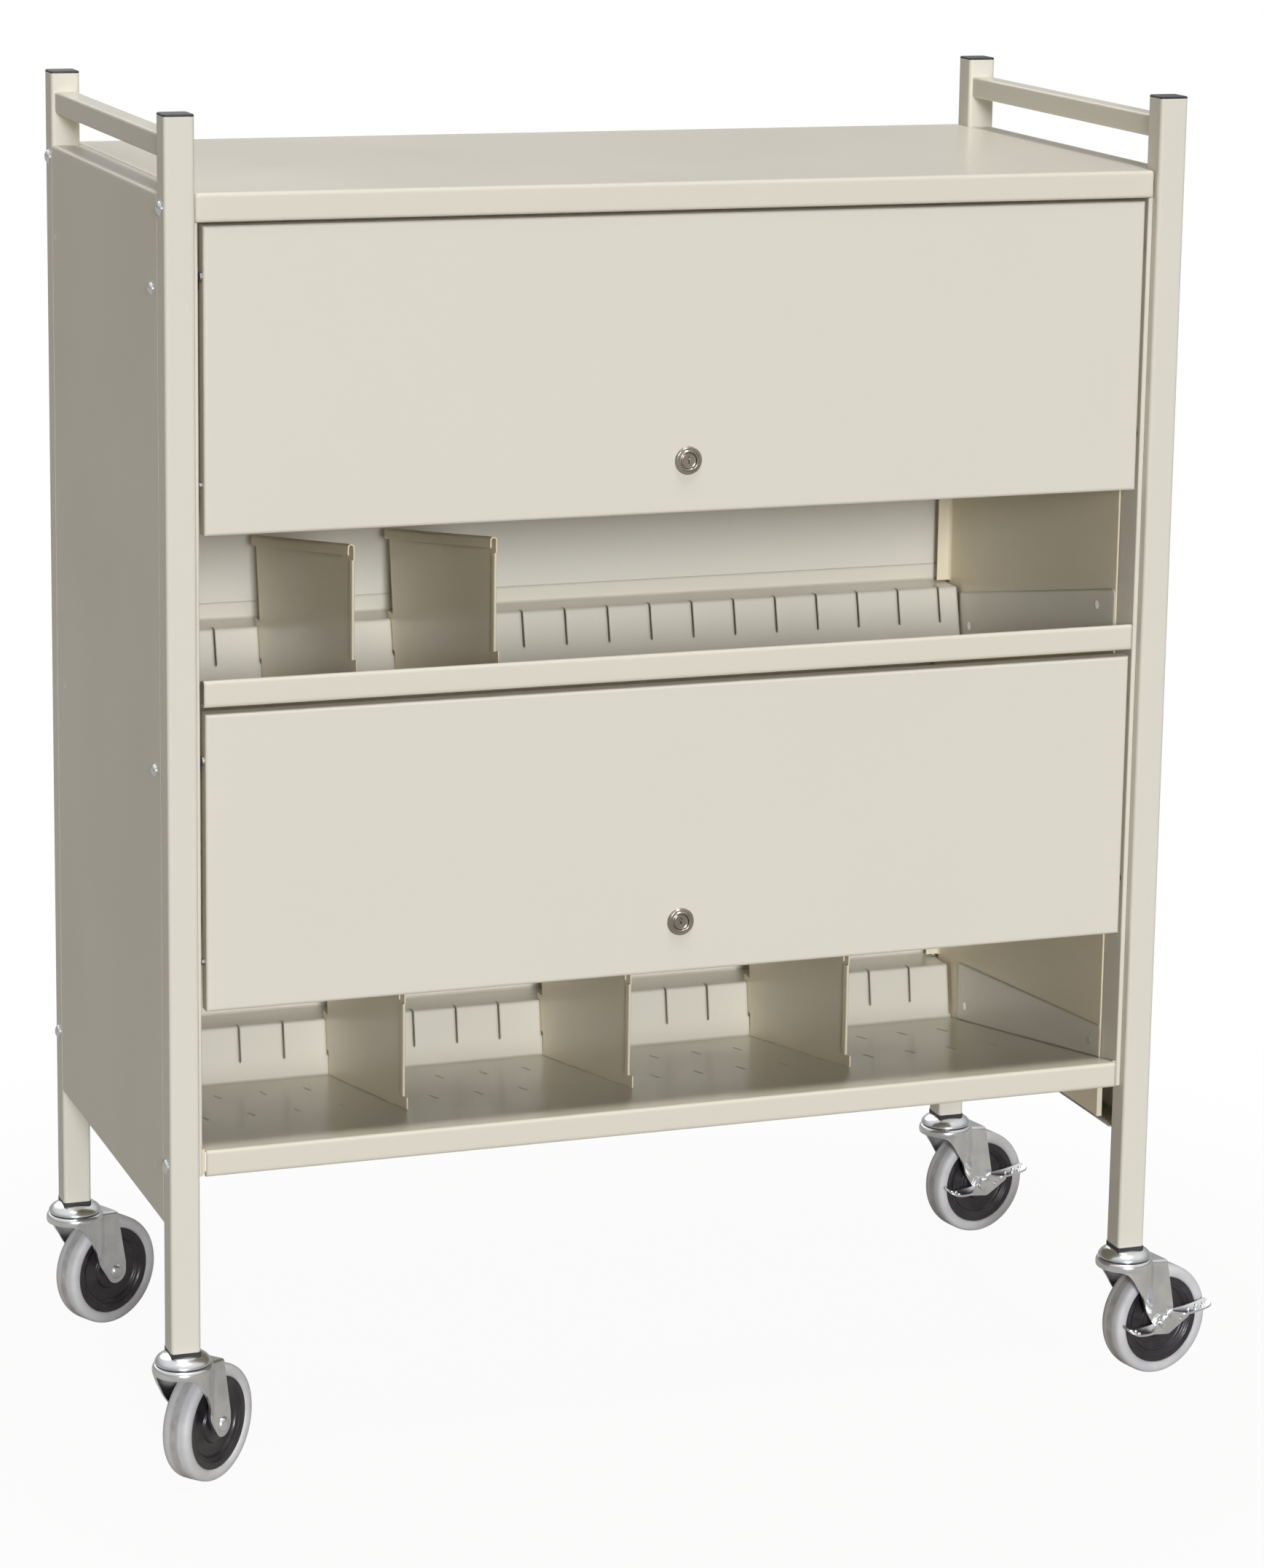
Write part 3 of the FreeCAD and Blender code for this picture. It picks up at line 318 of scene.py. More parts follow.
def head_tree(recess):
    tree = bpy.data.node_groups.new("recessed_head" if recess else "domed_head", "GeometryNodeTree")
    tree.interface.new_socket("Places", in_out="INPUT", socket_type="NodeSocketGeometry")
    for word, length in (("Radius", 0.006), ("Height", 0.003), ("Flange", 0.0005)):
        socket = tree.interface.new_socket(word, in_out="INPUT", socket_type="NodeSocketFloat")
        socket.default_value = length
    tree.interface.new_socket("Finish", in_out="INPUT", socket_type="NodeSocketMaterial")
    tree.interface.new_socket("Heads", in_out="OUTPUT", socket_type="NodeSocketGeometry")
    given, made = tree.nodes.new("NodeGroupInput"), tree.nodes.new("NodeGroupOutput")
    wire = tree.links.new
    dome = tree.nodes.new("GeometryNodeMeshUVSphere")
    dome.inputs["Segments"].default_value, dome.inputs["Rings"].default_value = 28, 16
    wire(given.outputs["Radius"], dome.inputs["Radius"])
    flat = tree.nodes.new("ShaderNodeMath")
    flat.operation = "DIVIDE"
    wire(given.outputs["Height"], flat.inputs[0])
    wire(given.outputs["Radius"], flat.inputs[1])
    low = tree.nodes.new("ShaderNodeCombineXYZ")
    low.inputs["X"].default_value = low.inputs["Y"].default_value = 0.92
    wire(flat.outputs["Value"], low.inputs["Z"])
    cap = tree.nodes.new("GeometryNodeTransform")
    wire(dome.outputs["Mesh"], cap.inputs["Geometry"])
    wire(low.outputs["Vector"], cap.inputs["Scale"])
    soft = tree.nodes.new("GeometryNodeSetShadeSmooth")
    wire(cap.outputs["Geometry"], soft.inputs["Geometry"])
    skirt = tree.nodes.new("GeometryNodeMeshCylinder")
    skirt.inputs["Vertices"].default_value = 28
    wire(given.outputs["Radius"], skirt.inputs["Radius"])
    wire(given.outputs["Flange"], skirt.inputs["Depth"])
    lift = tree.nodes.new("ShaderNodeCombineXYZ")
    half = tree.nodes.new("ShaderNodeMath")
    half.operation = "MULTIPLY"
    half.inputs[1].default_value = 0.5
    wire(given.outputs["Flange"], half.inputs[0])
    wire(half.outputs["Value"], lift.inputs["Z"])
    seat = tree.nodes.new("GeometryNodeTransform")
    wire(skirt.outputs["Mesh"], seat.inputs["Geometry"])
    wire(lift.outputs["Vector"], seat.inputs["Translation"])
    join = tree.nodes.new("GeometryNodeJoinGeometry")
    wire(seat.outputs["Geometry"], join.inputs["Geometry"])
    if recess:
        blades = tree.nodes.new("GeometryNodeJoinGeometry")
        for turned_by in (0, math.pi / 2):
            blade = tree.nodes.new("GeometryNodeMeshCube")
            blade.inputs["Size"].default_value = (0.0042, 0.0009, 0.0016)
            put = tree.nodes.new("GeometryNodeTransform")
            put.inputs["Rotation"].default_value = (0, 0, turned_by)
            rise = tree.nodes.new("ShaderNodeCombineXYZ")
            wire(given.outputs["Height"], rise.inputs["Z"])
            wire(rise.outputs["Vector"], put.inputs["Translation"])
            wire(blade.outputs["Mesh"], put.inputs["Geometry"])
            wire(put.outputs["Geometry"], blades.inputs["Geometry"])
        bite = tree.nodes.new("GeometryNodeMeshBoolean")
        bite.operation = "DIFFERENCE"
        bite.solver = "EXACT"
        wire(soft.outputs["Geometry"], bite.inputs["Mesh 1"])
        wire(blades.outputs["Geometry"], bite.inputs["Mesh 2"])
        wire(bite.outputs["Mesh"], join.inputs["Geometry"])
    else:
        wire(soft.outputs["Geometry"], join.inputs["Geometry"])
    facing = tree.nodes.new("GeometryNodeInputNamedAttribute")
    facing.data_type = "FLOAT_VECTOR"
    facing.inputs["Name"].default_value = "facing"
    aim = tree.nodes.new("FunctionNodeAlignRotationToVector")
    aim.axis = "Z"
    wire(facing.outputs["Attribute"], aim.inputs["Vector"])
    points = tree.nodes.new("GeometryNodeMeshToPoints")
    wire(given.outputs["Places"], points.inputs["Mesh"])
    spread = tree.nodes.new("GeometryNodeInstanceOnPoints")
    wire(points.outputs["Points"], spread.inputs["Points"])
    wire(join.outputs["Geometry"], spread.inputs["Instance"])
    wire(aim.outputs["Rotation"], spread.inputs["Rotation"])
    real = tree.nodes.new("GeometryNodeRealizeInstances")
    wire(spread.outputs["Instances"], real.inputs["Geometry"])
    coat = tree.nodes.new("GeometryNodeSetMaterial")
    wire(real.outputs["Geometry"], coat.inputs["Geometry"])
    wire(given.outputs["Finish"], coat.inputs["Material"])
    wire(coat.outputs["Geometry"], made.inputs["Heads"])
    return tree


def heads(name, tree, places, facings, sizes, finish):
    """Plain mesh with one head at each place, standing up along its facing."""
    spots = bpy.data.meshes.new(name + "_places")
    spots.from_pydata(places, [], [])
    facing = spots.attributes.new("facing", "FLOAT_VECTOR", "POINT")
    for spot, way in zip(facing.data, facings):
        spot.vector = way
    carrier = bpy.data.objects.new(name + "_carrier", spots)
    bpy.context.scene.collection.objects.link(carrier)
    grow = carrier.modifiers.new("heads", "NODES")
    grow.node_group = tree
    keys = {item.name: item.identifier for item in tree.interface.items_tree
            if item.in_out == "INPUT"}
    for word, value in sizes.items():
        grow[keys[word]] = value
    grow[keys["Finish"]] = finish
    bpy.context.view_layer.update()
    whole = bpy.data.meshes.new_from_object(
        carrier.evaluated_get(bpy.context.evaluated_depsgraph_get()))
    whole.name = name
    bpy.data.objects.remove(carrier)
    piece = bpy.data.objects.new(name, whole)
    bpy.context.scene.collection.objects.link(piece)
    return piece


domed, recessed = head_tree(False), head_tree(True)
mid_x, face_y, base_z = -0.0315, -0.2245, 0.127
post_x, front_y, rear_y = 0.4373, 0.0127 + face_y, 0.4173 + face_y
post_side, panel_side, flange_side = 0.450, 0.4498, 0.4177
places, facings = [], []
for side in (-1, 1):
    for y in (front_y, rear_y):
        for z in (0.960 + base_z, 0.161 + base_z):
            places.append((side * post_side + mid_x, y, z))
            facings.append((side, 0, 0))
post_bolts = heads("post_bolt_heads", domed, places, facings,
                   {"Radius": 0.0065, "Height": 0.0037, "Flange": 0.0007}, zinc)
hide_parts("outer_bolts")
places = [(side * panel_side + mid_x, 0.043 + face_y, z + base_z)
          for z in (0.892, 0.4932) for side in (-1, 1)]
facings = [(side, 0, 0) for z in (0.892, 0.4932) for side in (-1, 1)]
side_bolts = heads("track_bolt_heads", domed, places, facings,
                   {"Radius": 0.0055, "Height": 0.0037, "Flange": 0.0006}, zinc)
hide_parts("track_bolts")
places, facings = [], []
for y, z in ((0.076, 0.578), (0.352, 0.503), (0.062, 0.1785), (0.336, 0.132)):
    for side in (-1, 1):
        places.append((side * flange_side + mid_x, y + face_y, z + base_z))
        facings.append((-side, 0, 0))
flange_screws = heads("flange_screw_heads", recessed, places, facings,
                      {"Radius": 0.0039, "Height": 0.0017, "Flange": 0.0004}, zinc)
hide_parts("shelf_screws")
for piece in (post_bolts, side_bolts, flange_screws):
    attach(piece, "rack_frame")


# Locks: a die-cast housing with a stepped bezel, nickel plated, and a turned plug with its
# keyway upright. A crank plate behind the plug works the two rods.
def turned_mesh(outline, across_axis, centre, steps=64):
    """Ring of faces for an outline of (radius, distance along the axis), one step apart."""
    shell = bmesh.new()
    axis = Vector(across_axis).normalized()
    side = axis.orthogonal().normalized()
    other = axis.cross(side)
    rings = []
    for radius, along in outline:
        middle = Vector(centre) + axis * along
        if radius < 1e-6:
            rings.append([shell.verts.new(middle)] * steps)
            continue
        rings.append([shell.verts.new(middle + radius * (
            side * math.cos(2 * math.pi * k / steps) + other * math.sin(2 * math.pi * k / steps)))
            for k in range(steps)])
    for ring, after in zip(rings, rings[1:]):
        for k in range(steps):
            corners = [ring[k], ring[(k + 1) % steps], after[(k + 1) % steps], after[k]]
            kept = [c for n, c in enumerate(corners) if c not in corners[:n]]
            if len(kept) > 2:
                shell.faces.new(kept)
    bmesh.ops.recalc_face_normals(shell, faces=shell.faces)
    return shell


def rounded(outline, cut):
    """The same outline with each inner corner taken off by two short steps."""
    smooth = [outline[0]]
    for before, corner, after in zip(outline, outline[1:], outline[2:]):
        here, back, on = Vector(corner), Vector(before), Vector(after)
        near = min(cut, (here - back).length / 2.2)
        far = min(cut, (here - on).length / 2.2)
        start, end = here + (back - here).normalized() * near, here + (on - here).normalized() * far
        smooth += [tuple(start), tuple((start + 2 * here + end) / 4), tuple(end)]
    return smooth + [outline[-1]]


def piece_from(shell, name, finish, body, standing_for=(), sharp=35):
    form = bpy.data.meshes.new(name)
    shell.to_mesh(form)
    shell.free()
    form.materials.append(finish)
    form.shade_smooth()
    piece = bpy.data.objects.new(name, form)
    bpy.context.scene.collection.objects.link(piece)
    bpy.context.view_layer.objects.active = piece
    form.set_sharp_from_angle(angle=math.radians(sharp))
    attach(piece, body)
    if standing_for:
        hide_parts(*standing_for)
    return piece


nickel = bare_metal("satin_nickel", (0.42, 0.38, 0.325, 1), (0.32, 0.29, 0.25, 1), 0.20, 0.27,
                    (1, 1, 1), 500)
for door, foot in (("upper", 0.6935), ("lower", 0.2935)):
    centre = (mid_x, face_y, foot + 0.0444 + base_z)
    housing = turned_mesh(rounded([
        (0.0070, 0.0182), (0.0070, 0.0036), (0.0080, 0.0030), (0.0087, 0.0034), (0.0092, 0.0042),
        (0.0108, 0.0040), (0.0112, 0.0046), (0.0120, 0.0050), (0.0120, 0.0063), (0.0095, 0.0063),
        (0.0095, 0.0182), (0.0070, 0.0182)], 0.0003), (0, 1, 0), centre, 72)
    piece_from(housing, door + "_lock_bezel", nickel, door + "_door",
               [door + "_lock_housing"])
    plug = turned_mesh(rounded([
        (0, 0.0044), (0.0056, 0.0044), (0.0062, 0.0040), (0.0068, 0.0044), (0.0068, 0.0182),
        (0.0036, 0.0182), (0.0036, 0.0204), (0.0105, 0.0204), (0.0105, 0.0220), (0, 0.0220)],
        0.0002), (0, 1, 0), centre, 72)
    core = bpy.data.meshes.new("core")
    plug.to_mesh(core)
    plug.free()
    face = bpy.data.objects.new("core", core)
    bpy.context.scene.collection.objects.link(face)
    key = bmesh.new()
    way = Vector((centre[0], centre[1] + 0.0052, centre[2]))
    for wide, tall, rise in ((0.0013, 0.0076, 0), (0.0030, 0.0022, 0.0020)):
        bmesh.ops.create_cube(key, size=1, matrix=Matrix.Translation(
            way + Vector((0, 0, rise))) @ Matrix.Diagonal((wide, 0.0044, tall, 1)))
    cutter_mesh = bpy.data.meshes.new("keyway")
    key.to_mesh(cutter_mesh)
    key.free()
    cutter = bpy.data.objects.new("keyway", cutter_mesh)
    bpy.context.scene.collection.objects.link(cutter)
    bite = face.modifiers.new("keyway", "BOOLEAN")
    bite.object, bite.operation, bite.solver, bite.use_self = cutter, "DIFFERENCE", "EXACT", True
    bpy.context.view_layer.update()
    cut = bmesh.new()
    whole = bpy.data.meshes.new_from_object(
        face.evaluated_get(bpy.context.evaluated_depsgraph_get()))
    cut.from_mesh(whole)
    bpy.data.objects.remove(face)
    bpy.data.objects.remove(cutter)
    bpy.data.meshes.remove(whole)
    for side in (-1, 1):
        bmesh.ops.create_cone(cut, cap_ends=True, segments=16, radius1=0.0015, radius2=0.0015,
                              depth=0.002, matrix=Matrix.Translation(
            Vector(centre) + Vector((side * 0.008 * math.sin(math.pi / 4), 0.0195,
                                     -side * 0.008 * math.cos(math.pi / 4))))
            @ Matrix.Rotation(math.pi / 2, 4, "X"))
    piece_from(cut, door + "_lock_core", nickel, door + "_lock_plug",
               [door + "_lock_plug"])


# Lip ends: a narrow tab on each front post closes the gap beside the lower shelf's lip.
tabs = bmesh.new()
for side in (-1, 1):
    bmesh.ops.create_cube(tabs, size=1, matrix=Matrix.Translation(
        (side * 0.42105 + mid_x, 0.012 + face_y, 0.1623 + base_z))
        @ Matrix.Diagonal((0.0070, 0.0010, 0.0226, 1)))
# The tabs wear the inner coat, whose painted warm bounce light stands in for the tan shade in that
# gap.
piece_from(tabs, "lip_end_tabs", inner, "rack_frame")


# Dividers: one sheet each, with its front edge folded back flat, its top rolled over into a
# smooth grip, a tab for each of two floor slits and a hook for a slot in the back wall.
def divider(name, x, edge, slope, front, top, rear):
    foot_z, fall, half = edge - slope * 0.363, 0.157, 0.0006

    def low(y, above=0.0004):
        return edge - slope * (y - 0.005) + above

    def wall(z, behind):
        return 0.368 + (z - foot_z) * slope + behind

    hook_low = foot_z + 0.023
    hook_high = foot_z + 0.052 * math.cos(math.atan(slope)) + 0.0056
    toe, fold = front - 0.008, front + 0.0012
    side = [(toe, low(toe))]
    for y in (0.177, 0.293):
        side += [(y - 0.010, low(y - 0.010)), (y - 0.010, low(y - 0.010, -0.0024)),
                 (y + 0.010, low(y + 0.010, -0.0024)), (y + 0.010, low(y + 0.010))]
    side += [(0.3665, low(0.3665)), (wall(hook_low, -0.005), hook_low),
             (wall(hook_low, 0.008), hook_low), (wall(hook_high, 0.008), hook_high),
             (wall(hook_high, -0.0075), hook_high), (rear, top - 0.014 - fall * (rear - front)),
             (fold, top - 0.014 - fall * 0.0012), (fold, low(front, 0.011)),
             (toe, low(toe, 0.011))]
    leaf = bmesh.new()
    base = [leaf.verts.new((x - half, y, z)) for y, z in side]
    sheet = leaf.faces.new(base)
    lifted = bmesh.ops.extrude_face_region(leaf, geom=[sheet])["geom"]
    bmesh.ops.translate(leaf, vec=(2 * half, 0, 0),
                        verts=[v for v in lifted if isinstance(v, bmesh.types.BMVert)])

    def swept(section, stations):
        rings = [[leaf.verts.new(place(u, v)) for u, v in section] for place in stations]
        count = len(section)
        for ring, after in zip(rings, rings[1:]):
            for k in range(count):
                leaf.faces.new((ring[k], ring[(k + 1) % count], after[(k + 1) % count], after[k]))
        leaf.faces.new(rings[0][::-1])
        leaf.faces.new(rings[-1])

    bend = [math.pi * k / 10 for k in range(11)]
    outer = [(half, 0.0012)] + [(-half + 0.0012 * math.cos(a), 0.0012 - 0.0012 * math.sin(a))
                                for a in bend] + [(-0.0018, 0.0080)]
    hem = outer + [(-half, 0.0080)]
    swept(hem[1:], [lambda u, v, z=z: (x + u, front + v, z - fall * v * (z > low(front) + 0.02))
                    for z in (low(front, 0.011), top - 0.014)])
    roll = [(half, -0.014), (half, -0.0031)]
    roll += [(-0.0025 + 0.0031 * math.cos(a), -0.0031 + 0.0031 * math.sin(a)) for a in bend[1:-1]]
    roll += [(-0.0056, -0.0031), (-0.0056, -0.0095), (-0.0044, -0.0095), (-0.0044, -0.0031)]
    roll += [(-0.0025 - 0.0019 * math.cos(a), -0.0031 + 0.0019 * math.sin(a)) for a in bend[1:-1]]
    roll += [(-half, -0.0031), (-half, -0.014)]
    swept(roll, [lambda u, v, y=y: (x + u, y, top + v - fall * (y - front))
                 for y in (front, (front + rear) / 2, rear)])
    bmesh.ops.recalc_face_normals(leaf, faces=leaf.faces)
    bmesh.ops.translate(leaf, vec=(mid_x, face_y, base_z), verts=leaf.verts)
    piece_from(leaf, name + "_sheet", inner, name, [name], 25)


for number, x in ((1, -0.27105), (2, -0.14595)):
    divider("mid_divider_%d" % number, x, 0.5746, 0.2458, 0.074, 0.668, 0.386)
for number, x in ((1, -0.2085), (2, 0), (3, 0.2085)):
    divider("bottom_divider_%d" % number, x, 0.1742, 0.1718, 0.128, 0.262, 0.375)


# Caster heads: a pressed cup with a domed top under each boot, the race under it, and the
# kingpin. All of it is zinc plated.
cup = rounded([(0, 0.1254), (0.0060, 0.1253), (0.0120, 0.1245), (0.0165, 0.1232),
               (0.0196, 0.1216), (0.0218, 0.1199), (0.0233, 0.1180), (0.0240, 0.1162),
               (0.0238, 0.1156), (0.0200, 0.1156), (0.0200, 0.1136), (0.0050, 0.1136),
               (0.0050, 0.1103), (0.0080, 0.1099), (0.0080, 0.1076), (0, 0.1076)], 0.0007)
cups = bmesh.new()
for side in (-1, 1):
    for y in (front_y, rear_y):
        one = turned_mesh(cup, (0, 0, 1), (side * post_x + mid_x, y, 0), 64)
        held = bpy.data.meshes.new("cup")
        one.to_mesh(held)
        one.free()
        cups.from_mesh(held)
        bpy.data.meshes.remove(held)
piece_from(cups, "caster_cups", zinc, "rack_frame", ["caster_stems"], 50)


def smooth_line(points, steps):
    """Points along a smooth curve through the given ones."""
    ends = [2 * points[0] - points[1]] + points + [2 * points[-1] - points[-2]]
    track = []
    for a, b, c, d in zip(ends, ends[1:], ends[2:], ends[3:]):
        for t in (k / steps for k in range(steps)):
            track.append(0.5 * (2 * b + (c - a) * t + (2 * a - 5 * b + 4 * c - d) * t * t
                                + (3 * b - 3 * c + d - a) * t ** 3))
    return track + [points[-1]]


# Caster forks: one pressing each. A rolled crown ring turns down into two legs, swept back
# in front, with an upright crease, and a roof that falls away over the wheel.
def fork_mesh():
    trail, axle, lobe, half, gauge = 0.036, 0.0508, 0.011, 0.0162, 0.0022
    crown, crease, roof_end, corner = 0.0256, 0.0222, 0.038, 0.0026

    def ease(part):
        part = min(max(part, 0), 1)
        return part * part * (3 - 2 * part)

    def side_at(x, z):
        turn_in = 0.014
        round_part = math.sqrt(max(crown ** 2 - min(x, turn_in) ** 2, 0))
        slope = (math.sqrt(crown ** 2 - turn_in ** 2) - half) / (crease - turn_in)
        bulge = round_part - half - slope * max(min(x, crease) - turn_in, 0)
        return half + bulge * ease((z - 0.048) / 0.034)

    def roof_at(x):
        return 0.1118 - 0.003 * (x - 0.015) / (roof_end - 0.015)

    def top_at(x):
        if x < crease:
            return 0.1086
        if x <= roof_end:
            return roof_at(x) - corner
        return roof_at(roof_end) - corner - (x - roof_end) * 0.048 / (trail + lobe - roof_end)

    line = smooth_line([Vector((x / 1000, z / 1000)) for x, z in (
        (-22, 107), (-17, 106.6), (-13, 105), (-10, 102), (-6, 96.6), (-2.5, 91.4), (1, 86.3),
        (3.8, 81.2), (7, 75), (10.8, 68.2), (15, 61.8), (19.3, 56), (23.2, 50.4), (26.4, 45.4))], 3)
    line += [Vector((trail - lobe * math.cos(a), axle - lobe * math.sin(a)))
             for a in (0.6 + (math.pi - 0.6) * k / 16 for k in range(17))]
    rows, skin, count = [], bmesh.new(), 16
    for spot in line:
        high = max(top_at(spot.x), spot.y)
        rows.append([(spot.x, side_at(spot.x, z), z) for z in (
            spot.y + (high - spot.y) * k / count for k in range(count + 1))])
    for way in (1, -1):
        grid = [[skin.verts.new((x, way * y, z)) for x, y, z in row] for row in rows]
        for row, after in zip(grid, grid[1:]):
            for k in range(count):
                skin.faces.new((row[k], row[k + 1], after[k + 1], after[k]))
    ribs = []
    on_legs = [row[0][0] for row in rows if crease < row[0][0] < roof_end]
    for x in [0.012, 0.017] + on_legs + [roof_end]:
        bend = [(half - corner * (1 - math.cos(a)), roof_at(x) - corner * (1 - math.sin(a)))
                for a in (math.pi / 2 * k / 6 for k in range(7))]
        across = [(x, y, z) for y, z in bend] + [(x, 0.007, roof_at(x))]
        ribs.append([skin.verts.new(p) for p in across + [(x, -y, z) for x, y, z in across[::-1]]])
    for rib, after in zip(ribs, ribs[1:]):
        for k in range(len(rib) - 1):
            skin.faces.new((rib[k], rib[k + 1], after[k + 1], after[k]))
    bmesh.ops.remove_doubles(skin, verts=skin.verts, dist=0.00004)
    for face in skin.faces:
        face.normal_update()
        middle = face.calc_center_median()
        out = Vector((0, math.copysign((middle.y / half) ** 8, middle.y), 0.5))
        if face.normal.dot(out) < 0:
            face.normal_flip()
    held = bpy.data.meshes.new("fork_skin")
    skin.to_mesh(held)
    skin.free()
    form = bpy.data.objects.new("fork_skin", held)
    bpy.context.scene.collection.objects.link(form)
    wall = form.modifiers.new("gauge", "SOLIDIFY")
    wall.thickness, wall.offset, wall.use_even_offset = gauge, -1, True
    bpy.context.view_layer.update()
    whole = bpy.data.meshes.new_from_object(
        form.evaluated_get(bpy.context.evaluated_depsgraph_get()))
    pressed = bmesh.new()
    pressed.from_mesh(whole)
    bpy.data.objects.remove(form)
    ring = turned_mesh([(0.0051, 0.1106), (0.0051, 0.1133), (0.0204, 0.1133), (0.0211, 0.1140),
                        (0.0221, 0.1145), (0.0233, 0.1145), (0.0245, 0.1139), (0.0254, 0.1128),
                        (0.0259, 0.1113), (0.0260, 0.1098), (0.0259, 0.1082), (0.0256, 0.1068),
                        (0.0235, 0.1068), (0.0234, 0.1090), (0.0225, 0.1106), (0.0051, 0.1106)],
                       (0, 0, 1), (0, 0, 0), 72)
    held = bpy.data.meshes.new("ring")
    ring.to_mesh(held)
    ring.free()
    pressed.from_mesh(held)
    made = bpy.data.meshes.new("fork")
    pressed.to_mesh(made)
    pressed.free()
    return made


fork_form = fork_mesh()

# Wheels: a black moulded hub with stepped rings and a grey rubber tread with round
# shoulders. The middle of the tread has picked up floor dirt.
hub_plastic = moulded("hub_plastic", (0.026, 0.021, 0.025, 1), (0.046, 0.040, 0.044, 1), 0.22, 900)
tread_rubber = moulded("tread_rubber", (0.72, 0.715, 0.725, 1), (0.65, 0.645, 0.655, 1), 0.44, 1200)
tree = tread_rubber.node_tree
face = tree.nodes["Principled BSDF"]
side = tree.nodes.new("ShaderNodeAttribute")
side.attribute_name = "off_centre"
band = tree.nodes.new("ShaderNodeMapRange")
band.interpolation_type = "SMOOTHSTEP"
band.inputs["From Min"].default_value, band.inputs["From Max"].default_value = 0.18, 0.42
band.inputs["To Min"].default_value, band.inputs["To Max"].default_value = 1, 0
smudge = tree.nodes.new("ShaderNodeTexNoise")
smudge.inputs["Scale"].default_value = 90
patchy = tree.nodes.new("ShaderNodeMath")
patchy.operation = "MULTIPLY"
soiled = tree.nodes.new("ShaderNodeMix")
soiled.data_type = "RGBA"
soiled.inputs["B"].default_value = (0.30, 0.27, 0.25, 1)
clean = face.inputs["Base Color"].links[0].from_socket
place = next(n for n in tree.nodes if n.bl_idname == "ShaderNodeTexCoord")
tree.links.new(place.outputs["Object"], smudge.inputs["Vector"])
tree.links.new(side.outputs["Fac"], band.inputs["Value"])
tree.links.new(band.outputs["Result"], patchy.inputs[0])
tree.links.new(smudge.outputs["Fac"], patchy.inputs[1])
tree.links.new(patchy.outputs["Value"], soiled.inputs["Factor"])
tree.links.new(clean, soiled.inputs["A"])
tree.links.new(soiled.outputs["Result"], face.inputs["Base Color"])
hub_side = rounded([
    (0.0041, 0.0136), (0.0080, 0.0136), (0.0091, 0.0130), (0.0103, 0.0107), (0.0136, 0.0101),
    (0.0170, 0.0095), (0.0181, 0.0070), (0.0236, 0.0063), (0.0290, 0.0060), (0.0301, 0.0070),
    (0.0311, 0.0084), (0.0334, 0.0093), (0.0344, 0.0104), (0.0352, 0.0108), (0.0376, 0.0109),
    (0.0399, 0.0111)], 0.0005)
tread_side = [(0.04005, 0.0109), (0.0407, 0.0119), (0.0417, 0.0126), (0.0432, 0.0131),
              (0.0450, 0.0132), (0.0466, 0.0131), (0.0480, 0.0126), (0.0491, 0.0118),
              (0.0499, 0.0107), (0.0504, 0.0094), (0.0507, 0.0078), (0.05078, 0.0040), (0.0508, 0)]
axle_place = (0.036, 0, 0.0508)


